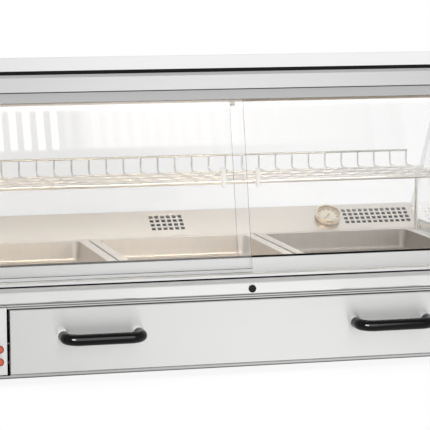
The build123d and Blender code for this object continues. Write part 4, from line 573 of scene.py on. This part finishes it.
def make_finishes():
    """One finish for each of the record's material slots, and those that only one node or piece has."""
    low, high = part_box("thermometer_dial")
    dial_centre = tuple((low + high) / 2)
    return {
        "casing_steel": brushed_steel("brushed_stainless_wide", "#e1e1e0", "#e4e4e3", "x", 0.33),
        "casing_steel_deep": brushed_steel("brushed_stainless_deep", "#d6d6d5", "#dcdcdb", "y", 0.33),
        "back_steel": brushed_steel("stainless_back_painted_shade", "#e1e1e0", "#e4e4e3", "x", 0.33, shaded_inside="#1e1c1a"),
        "apron_steel": brushed_steel("brushed_stainless_apron", "#ececeb", "#efefee", "x", 0.33, worn_mm=155.0),
        # The control panel's brighter copy of the brushed steel is painted light.
        "control_steel": brushed_steel("brushed_stainless_control_painted_light", "#fbfbfa", "#fefefd", "x", 0.45),
        "base_steel": base_steel("stainless_base_painted_shade", "#c2c2c1", "#242322", 12.6, 15.8),
        "inner_steel": brushed_steel("mill_finish_stainless", "#b6b6b5", "#c2c2c1", "x", 0.38),
        "bay_steel": ribbed_strip("ribbed_stainless_strip", "#6c6c6b", "#d6d6d5", 0.42, 3.58, 133.0, 127.5),
        # The warm cast of the vent steel is painted lamp light.
        "vent_steel": brushed_steel("brushed_stainless_vent", "#f7f1e9", "#fcf6ee", "x", 0.36, bump=0.01),
        "sill_steel": brushed_steel("brushed_stainless_sill", "#ebebea", "#eeeeed", "x", 0.34),
        # The warm cast of both pan finishes is painted lamp light.
        "pan_steel": drawn_pan("deep_drawn_stainless", "#eae2d7", "#f0e8dd", "#bdb2a4", "#ddd9d3", 0.34),
        # The right pan's darker copy of the pan finish is painted shade.
        "pan_steel_dull_shaded": drawn_pan("dull_drawn_stainless_painted_shade", "#bcb5ac", "#c4bdb4", "#a09487", "#d6d2cc", 0.38),
        "canopy_metal": brushed_steel("satin_anodised_aluminium", "#e2e2e2", "#e5e5e5", "x", 0.3, (120.0, 2.0)),
        "track_metal": brushed_steel("anodised_track_aluminium", "#c2c2c2", "#c8c8c8", "x", 0.4, (120.0, 2.0), 0.01),
        "heated_track": heated_track("track_painted_lamp_glow", "#c6c6c6", "#c2bab0", "#fff0dc", 458.5, 452.0),
        "ceiling_paint": speckled("white_powder_coat", "#e6e4df", "#efede8", 0.5, 1.2, 0.15),
        "top_steel": brushed_steel("bright_stainless_top", "#f0f0f0", "#f5f5f5", "x", 0.22),
        "fixed_glass": clear_glass("float_glass_side", "#f1f2f1", "#a3b0ab", SIDE_FACING, ground=0.25),
        "guest_glass": clear_glass("float_glass_guest", "#f1f2f1", "#828d8a", GUEST_FACING, ground=0.9,
                                   middle_mm=GUEST_MIDDLE, half_mm=GUEST_HALF),
        "door_glass": clear_glass("toughened_glass", "#f2f2f2", "#7d8280", DOOR_FACING, 0.085, 0.6),
        "clear_plastic": shoe_plastic("clear_acrylic_shoe", "#3a3b3b", "#e8e8e8", 103.2, 8.0, 1.7),
        "pull_plastic": speckled("milk_white_pull", "#f2f0eb", "#fcfaf5", 0.2, 3.0, 0.03),
        "black_seal": speckled("black_rubber_strip", "#070707", "#0d0d0d", 0.6, 0.8, 0.2,
                               {"Specular IOR Level": 0.2}),
        "plug_black": speckled("black_moulded_plug", "#0c0c0c", "#161616", 0.5, 0.8, 0.2,
                               {"Specular IOR Level": 0.3}),
        "foot_rubber": speckled("black_rubber_foot", "#101010", "#1c1c1c", 0.7, 0.8, 0.3),
        "shelf_chrome": speckled("plated_wire", "#f3f3f1", "#fafaf9", 0.15, 2.0, 0.02, {"Metallic": 0.78}),
        # The fence's darker copy of the plated wire is painted shade.
        "fence_chrome": speckled("plated_fence_wire", "#d8d9d7", "#e2e3e1", 0.15, 2.0, 0.02, {"Metallic": 1.0}),
        "handle_black": speckled("gloss_black_phenolic", "#020202", "#060607", 0.11, 1.5, 0.02,
                                 {"Specular IOR Level": 0.15}),
        "switch_black": speckled("satin_black_nylon", "#0d0d0e", "#18181a", 0.32, 0.7, 0.15),
        "thermostat_grey": speckled("grey_phenolic", "#4c4c4e", "#59595b", 0.5, 0.8, 0.15),
        "lamp_red": lamp_lens("red_lamp_lens", "#4a0f08", "#cb5a3c"),
        "dial_case": speckled("plated_brass_case", "#dccdb4", "#e8dbc4", 0.16, 3.0, 0.02, {"Metallic": 1.0}),
        "dial_cream": printed_dial("cream_enamel_dial", "#fff6e6", "#c0a986", dial_centre, 24.0),
        "dial_pointer": speckled("bronzed_pointer", "#9c8a6f", "#aa977b", 0.4, 0.5, 0.05),
        "dial_lens": clear_glass("dial_window", "#f5f6f4", "#c9c9c4", VENT_FACING, 0.03),
        "lamp_glass": lit_tube("frosted_lamp_tube", "#fff0dc", 18.0, "#fff4e0"),
        "lamp_holder": speckled("white_lamp_holder", "#d9d7d2", "#e4e2dd", 0.45, 1.0, 0.1),
        "element_metal": speckled("heat_darkened_sheath", "#3b3835", "#56514c", 0.45, 2.0, 0.1, {"Metallic": 1.0}),
        "black_ink": speckled("black_screen_ink", "#161616", "#232323", 0.5, 0.5, 0.1),
        "white_ink": speckled("white_filled_mark", "#ebe9e4", "#f5f3ee", 0.45, 0.5, 0.1),
        # The grey bead under the canopy rail paints a shadow line.
        "seam_grey": speckled("grey_bead_painted_shadow", "#4c4c4c", "#585858", 0.5, 0.8, 0.1),
        "strip_vinyl": speckled("grey_vinyl_strip", "#bcbcbb", "#cacac9", 0.5, 0.6, 0.2),
        "clip_plastic": speckled("pale_acrylic_clip", "#f6f0dc", "#fdf8e8", 0.18, 2.0, 0.03, {"Alpha": 0.6}),
    }


OWN_FINISH = {
    "left_side_panel": "casing_steel_deep",
    "right_side_panel": "casing_steel_deep",
    "back_panel": "back_steel",
    "front_apron": "apron_steel",
    "control_panel": "control_steel",
    "right_front_panel": "control_steel",
    "apron_plug": "plug_black",
    "base_tray": "base_steel",
    "bay_walls": "bay_steel",
    "right_pan": "pan_steel_dull_shaded",
    "upper_track": "heated_track",
    "shelf_fence": "fence_chrome",
    "guest_glass": "guest_glass",
}


def dress_frame():
    """Gives each carried-over node the finish of its slot, or its own."""
    for row in frame["record"]["subparts"]:
        mesh = nodes[row["node"]].data
        mesh.materials.clear()
        mesh.materials.append(finishes[OWN_FINISH.get(row["node"], row["material_slot"])])


# Small fitted pieces, in millimetres: a bead that paints a shadow line, a drawer strip, lamp domes, weld beads,
# screws, a door clip and printed marks

DOOR_LINE = (-287.5, 197.0)
REAR_DOOR_IN = 13.2
DOOR_THICK = 5.0
SHARP_ANGLE = radians(40.0)


def placed(name, mesh, body, look):
    """A mesh made into a smooth piece with a finish, riding on a body."""
    work = bmesh.new()
    work.from_mesh(mesh)
    bmesh.ops.recalc_face_normals(work, faces=work.faces)
    work.to_mesh(mesh)
    work.free()
    mesh.shade_smooth()
    mesh.set_sharp_from_angle(angle=SHARP_ANGLE)
    mesh.materials.append(finishes[look])
    piece = bpy.data.objects.new(name, mesh)
    bpy.context.scene.collection.objects.link(piece)
    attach(piece, body)


def lofted(name, rings, body, look, loop=False):
    """A piece from rings of points in millimetres, of shape (copies, rings, points, 3). Each ring joins the next
    by four-cornered faces; the end rings are closed by flat faces, or joined to each other in a loop."""
    copies, count, points = rings.shape[:3]
    index = np.arange(copies * count * points).reshape(copies, count, points)
    ahead = np.roll(index, -1, axis=1)
    quads = np.stack((index, np.roll(index, -1, axis=2), np.roll(ahead, -1, axis=2), ahead), axis=-1)
    sides = quads if loop else quads[:, :-1]
    caps = [] if loop else index[:, 0, ::-1].tolist() + index[:, -1].tolist()
    mesh = bpy.data.meshes.new(name)
    mesh.from_pydata((rings.reshape(-1, 3) * MM).tolist(), [], sides.reshape(-1, 4).tolist() + caps)
    placed(name, mesh, body, look)


def box_mm(name):
    """A node's lowest and highest corners in millimetres."""
    return (np.array(corner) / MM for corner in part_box(name))


def axes_grid(centres, right, up, out, across, along, proud):
    """Points at centres (copies × 3) plus across, along and proud distances on three axes, one set per copy."""
    shape = (len(centres), 1, 1, 3)
    right, up, out = (np.broadcast_to(np.asarray(axis, float), centres.shape).reshape(shape)
                      for axis in (right, up, out))
    return centres.reshape(shape) + across[..., None] * right + along[..., None] * up + proud[..., None] * out


def round_angles(count):
    """Angles once round a circle, on the last axis of a grid of points."""
    return np.linspace(0, 2 * pi, count, endpoint=False)[None, None, :]


def carried(start, end, y, z):
    """A section in Y and Z at both ends of a length along X."""
    x = np.array([start, end])
    return np.stack(np.broadcast_arrays(x[:, None], y[None, :], z[None, :]), axis=-1)[None]


def round_ended_bars(centres, right, up, out, length, width, thickness):
    """Low bars with round ends: along s from -1 to 1 the half width and half thickness both follow the square
    root of 1 - s^8, round an ellipse."""
    blunt = 0.02
    s = np.sin(np.linspace(-0.495, 0.495, 9) * pi)[None, :, None]
    turn = round_angles(10)
    swell = np.sqrt(1 - s ** 8) + blunt
    length = np.reshape(length, (-1, 1, 1))
    return axes_grid(centres, right, up, out, width / 2 * swell * np.cos(turn), length / 2 * s + 0 * turn,
                     thickness * swell * np.sin(turn))


def make_seam_bead():
    """Grey bead, a painted shadow line, in the corner under the canopy's front rail: a quarter ellipse carried along
    X.
    """
    depth, height, sunk = 3.0, 3.4, 0.3
    (start, front, _), (end, _, _) = box_mm("upper_track")
    rail_foot = next(box_mm("canopy_front_rail"))[2]
    turn = np.linspace(0, pi / 2, 8)
    y = np.concatenate((front - depth * np.cos(turn), [front + sunk, front + sunk]))
    z = np.concatenate((rail_foot - height * np.sin(turn), [rail_foot - height, rail_foot]))
    lofted("canopy_shadow_line_bead", carried(start, end, y, z), "counter", "seam_grey")


def make_drawer_strip():
    """Grey vinyl strip on the base tray's lip, just under the drawer's foot: a low rectangle whose front edge is
    rounded by a quarter circle, carried along X."""
    gap, thickness, depth, setback, corner = 0.25, 0.85, 8.8, 0.2, 0.4
    (start, front, foot), (end, _, _) = box_mm("drawer_front")
    top = foot - gap
    edge = front + setback
    low, back = top - thickness, edge + depth
    turn = np.linspace(0, pi / 2, 6)
    y = np.concatenate(([edge], edge + corner - corner * np.cos(turn), [back, back]))
    z = np.concatenate(([low], top - corner + corner * np.sin(turn), [top, low]))
    lofted("drawer_rest_strip", carried(start, end, y, z), "counter", "strip_vinyl")


def make_lamp_domes():
    """Domed fronts of the two red lamps: a dome of revolution whose height follows (1 - r^2) to the power 0.7,
    on a narrow flat rim."""
    rim_share, rise_share, sunk = 0.86, 0.42, 0.2
    low, high = box_mm("indicator_lamps")
    outer = (high[0] - low[0]) / 2
    middle = (low[0] + high[0]) / 2
    centres = np.array([(middle, low[1], low[2] + outer), (middle, low[1], high[2] - outer)])
    share = np.sin(np.linspace(0.01, 0.5, 12) * pi)
    radius = rim_share * outer * np.append(share, 1.0)[None, :, None]
    turn = round_angles(36)
    rise = rise_share * outer * (1 - share ** 2) ** 0.7
    proud = np.append(rise, -sunk)[None, :, None] + 0 * turn
    rings = axes_grid(centres, (1, 0, 0), (0, 0, 1), (0, -1, 0), radius * np.cos(turn), radius * np.sin(turn), proud)
    lofted("indicator_lamp_domes", rings, "counter", "lamp_red")


def make_weld_beads():
    """Weld beads where the shelf's wires cross its rods and meet the fence's top rod: flattened balls whose
    radius swells in four lobes, 1 - 0.2 cos(4 turn), into the corners between the wires."""
    radius, lobe, half_height = 2.3, 0.2, 1.3
    wires = np.linspace(-469.3, 469.3, 29)
    rows = np.array([(70.1, 286.9), (120.1, 286.9), (170.1, 286.9), (220.1, 286.9), (232.5, 314.3)])
    centres = np.array([(x, y, z) for x in wires for y, z in rows])
    tilt = np.linspace(-0.44, 0.44, 5)[None, :, None] * pi
    turn = round_angles(8)
    reach = radius * np.cos(tilt) * (1 - lobe * np.cos(4 * turn))
    rings = axes_grid(centres, (1, 0, 0), (0, 1, 0), (0, 0, 1), reach * np.cos(turn), reach * np.sin(turn),
                      half_height * np.sin(tilt) + 0 * turn)
    lofted("shelf_weld_beads", rings, "counter", "shelf_chrome")


def make_back_screws():
    """Pan-head screws in the guest side panel: a dome of revolution, the square root of 1 - r^2, less a
    cross-shaped recess with soft sides."""
    crown, ball, recess, sunk = 2.1, 4.3, 1.3, 0.2
    arm_half, arm_reach, side_soft, end_soft = 0.6, 2.2, 0.25, 0.3
    face = list(box_mm("back_panel"))[1][1]
    centres = np.array([(x, face, z) for z in (32.0, 141.0) for x in (-505.0, -250.0, 0.0, 250.0, 505.0)])
    radius = np.concatenate((np.linspace(0.1, 2.6, 9), (3.2, 3.7, 4.0, 4.15, 4.15)))[None, :, None]
    turn = round_angles(40)
    u, v = radius * np.cos(turn), radius * np.sin(turn)
    dome = crown * np.sqrt(np.clip(1 - (radius / ball) ** 2, 0, 1))
    narrow_u, narrow_v = (np.clip((arm_half - np.abs(w)) / side_soft, 0, 1) for w in (u, v))
    long_u, long_v = (np.clip((arm_reach - np.abs(w)) / end_soft, 0, 1) for w in (u, v))
    height = dome - recess * np.maximum(narrow_u * long_v, narrow_v * long_u)
    height[:, -1] = -sunk
    rings = axes_grid(centres, (1, 0, 0), (0, 0, 1), (0, 1, 0), u, v, height)
    lofted("back_panel_screws", rings, "counter", "casing_steel")


def make_door_clip():
    """Clear clip over the rear door's free edge, just under the track: a U-shaped plan carried up the leaning
    glass, drawn in a little at both ends, and two dark rivets: low domes of revolution."""
    wall, wrap, arm, gap, bend = 1.3, -0.7, 8.5, 0.03, 1.2
    clip_rise, rivet_rise, plan_middle = 257.0, 2.0, 4.0
    inward = -np.array(DOOR_FACING)
    upward = np.array(DOOR_UPWARD)
    edge = next(box_mm("right_door_glass"))[0]
    foot = np.array([(edge, *DOOR_LINE)]) + REAR_DOOR_IN * inward + clip_rise * upward
    corner = np.linspace(0, pi / 2, 5)
    near, far, middle = -wall, DOOR_THICK + wall, DOOR_THICK / 2
    across = np.concatenate(([arm], wrap + bend - bend * np.sin(corner), wrap + bend - bend * np.cos(corner), [arm],
                             [arm, gap, gap, arm]))
    deep = np.concatenate(([near], near + bend - bend * np.cos(corner), far - bend + bend * np.sin(corner), [far],
                           [DOOR_THICK + gap, DOOR_THICK + gap, -gap, -gap]))
    level = np.array((0.0, 0.5, 10.5, 11.0))[None, :, None]
    shrink = np.array((0.93, 1.0, 1.0, 0.93))[None, :, None]
    rings = axes_grid(foot, (1, 0, 0), upward, inward, plan_middle + (across - plan_middle) * shrink,
                      level + 0 * across, middle + (deep - middle) * shrink)
    lofted("rear_door_clip", rings, "right_door", "clip_plastic")
    dots = foot + np.array([(1.2, 0, 0), (6.2, 0, 0)]) - wall * inward + rivet_rise * upward
    radius = np.array((0.1, 0.6, 1.0, 1.2, 1.2))[None, :, None]
    turn = round_angles(12)
    proud = np.array((0.7, 0.62, 0.4, 0.1, -0.3))[None, :, None] + 0 * turn
    rings = axes_grid(dots, (1, 0, 0), upward, -inward, radius * np.cos(turn), radius * np.sin(turn), proud)
    lofted("door_clip_rivets", rings, "right_door", "element_metal")


def make_knob_marks():
    """Printed scale round the knob, with numbers, and a white line on its grip: bars with round ends set out by
    their angle, clockwise from the top."""
    tick_ring, tick_width, ink = 20.6, 0.7, 0.1
    number_ring, number_size = 26.6, 4.6
    line_reach, line_length, line_width, line_proud = 8.0, 8.0, 1.3, 0.12
    knob_low, knob_high = box_mm("thermostat_knob")
    panel_face = next(box_mm("control_panel"))[1]
    centre = (knob_low + knob_high) / 2
    turn = np.radians(np.linspace(0, 270, 11))
    out = np.stack((np.sin(turn), 0 * turn, np.cos(turn)), axis=-1)
    side = np.stack((np.cos(turn), 0 * turn, -np.sin(turn)), axis=-1)
    length = np.where(np.arange(11) % 2, 1.6, 3.0)
    middle = np.array((centre[0], panel_face - ink / 2, centre[2])) + out * (tick_ring + length / 2)[:, None]
    ticks = round_ended_bars(middle, side, out, (0, -1, 0), length, tick_width, ink)
    lofted("knob_scale_ticks", ticks, "counter", "black_ink")
    upright = Matrix(((1, 0, 0), (0, 0, -1), (0, 1, 0))).to_4x4()
    for number, angle in zip(range(0, 101, 20), turn[::2]):
        name = f"knob_number_{number}"
        letters = bpy.data.curves.new(name, "FONT")
        letters.body = str(number)
        letters.size = number_size
        letters.align_x = letters.align_y = "CENTER"
        flat = bpy.data.objects.new("number_outline", letters)
        mesh = bpy.data.meshes.new_from_object(flat)
        mesh.name = name
        bpy.data.objects.remove(flat)
        spot = (centre[0] + number_ring * sin(angle), panel_face - ink, centre[2] + number_ring * cos(angle))
        mesh.transform(Matrix.Scale(MM, 4) @ Matrix.Translation(spot) @ upright)
        placed(name, mesh, "counter", "black_ink")
    tip = np.array([(centre[0], knob_low[1], centre[2] + line_reach)])
    line = round_ended_bars(tip, (1, 0, 0), (0, 0, 1), (0, -1, 0), line_length, line_width, line_proud)
    lofted("knob_line", line, "knob", "white_ink")


def make_rocker_marks():
    """White marks on the rockers' two slopes: a bar for on, and a loop for off on the pressed end. Both lie on
    the slope that falls from an end's edge to the middle."""
    pivot_x, pivot_y, tilt = -469.5, -317.5, radians(8.0)
    fall, half_length, mark_place, ink = 1.6, 13.0, 7.0, 0.1
    bar_length, bar_width, loop_radius, loop_half = 5.0, 0.9, 2.1, 0.45
    slope = np.arctan2(fall, half_length)
    right = np.array((cos(tilt), sin(tilt), 0.0))
    inward = np.array((-sin(tilt), cos(tilt), 0.0))
    up = np.array((0.0, 0.0, 1.0))
    for name in ("upper", "lower"):
        low, high = box_mm(f"{name}_rocker")
        pivot = np.array((pivot_x, pivot_y, (low[2] + high[2]) / 2))
        for mark, way in (("on", -1), ("off", 1)):
            along = right * cos(slope) - way * inward * sin(slope)
            out = -inward * cos(slope) - way * right * sin(slope)
            middle = (pivot + way * mark_place * right - (fall + mark_place * np.tan(slope)) * inward)[None]
            if mark == "on":
                rings = round_ended_bars(middle, along, up, out, bar_length, bar_width, ink)
            else:
                turn = np.linspace(0, 2 * pi, 28, endpoint=False)[None, :, None]
                tube = round_angles(6)
                reach = loop_radius + loop_half * np.cos(tube)
                rings = axes_grid(middle, along, up, out, reach * np.cos(turn), reach * np.sin(turn),
                                  ink * np.sin(tube) + 0 * turn)
            lofted(f"{name}_rocker_{mark}_mark", rings, f"{name}_switch", "white_ink",
                   loop=mark == "off")


make_camera()
make_world()
make_floor()
make_lights()
finishes = make_finishes()
dress_frame()
make_seam_bead()
make_drawer_strip()
make_lamp_domes()
make_weld_beads()
make_back_screws()
make_door_clip()
make_knob_marks()
make_rocker_marks()

bpy.context.scene.view_settings.view_transform = "Standard"
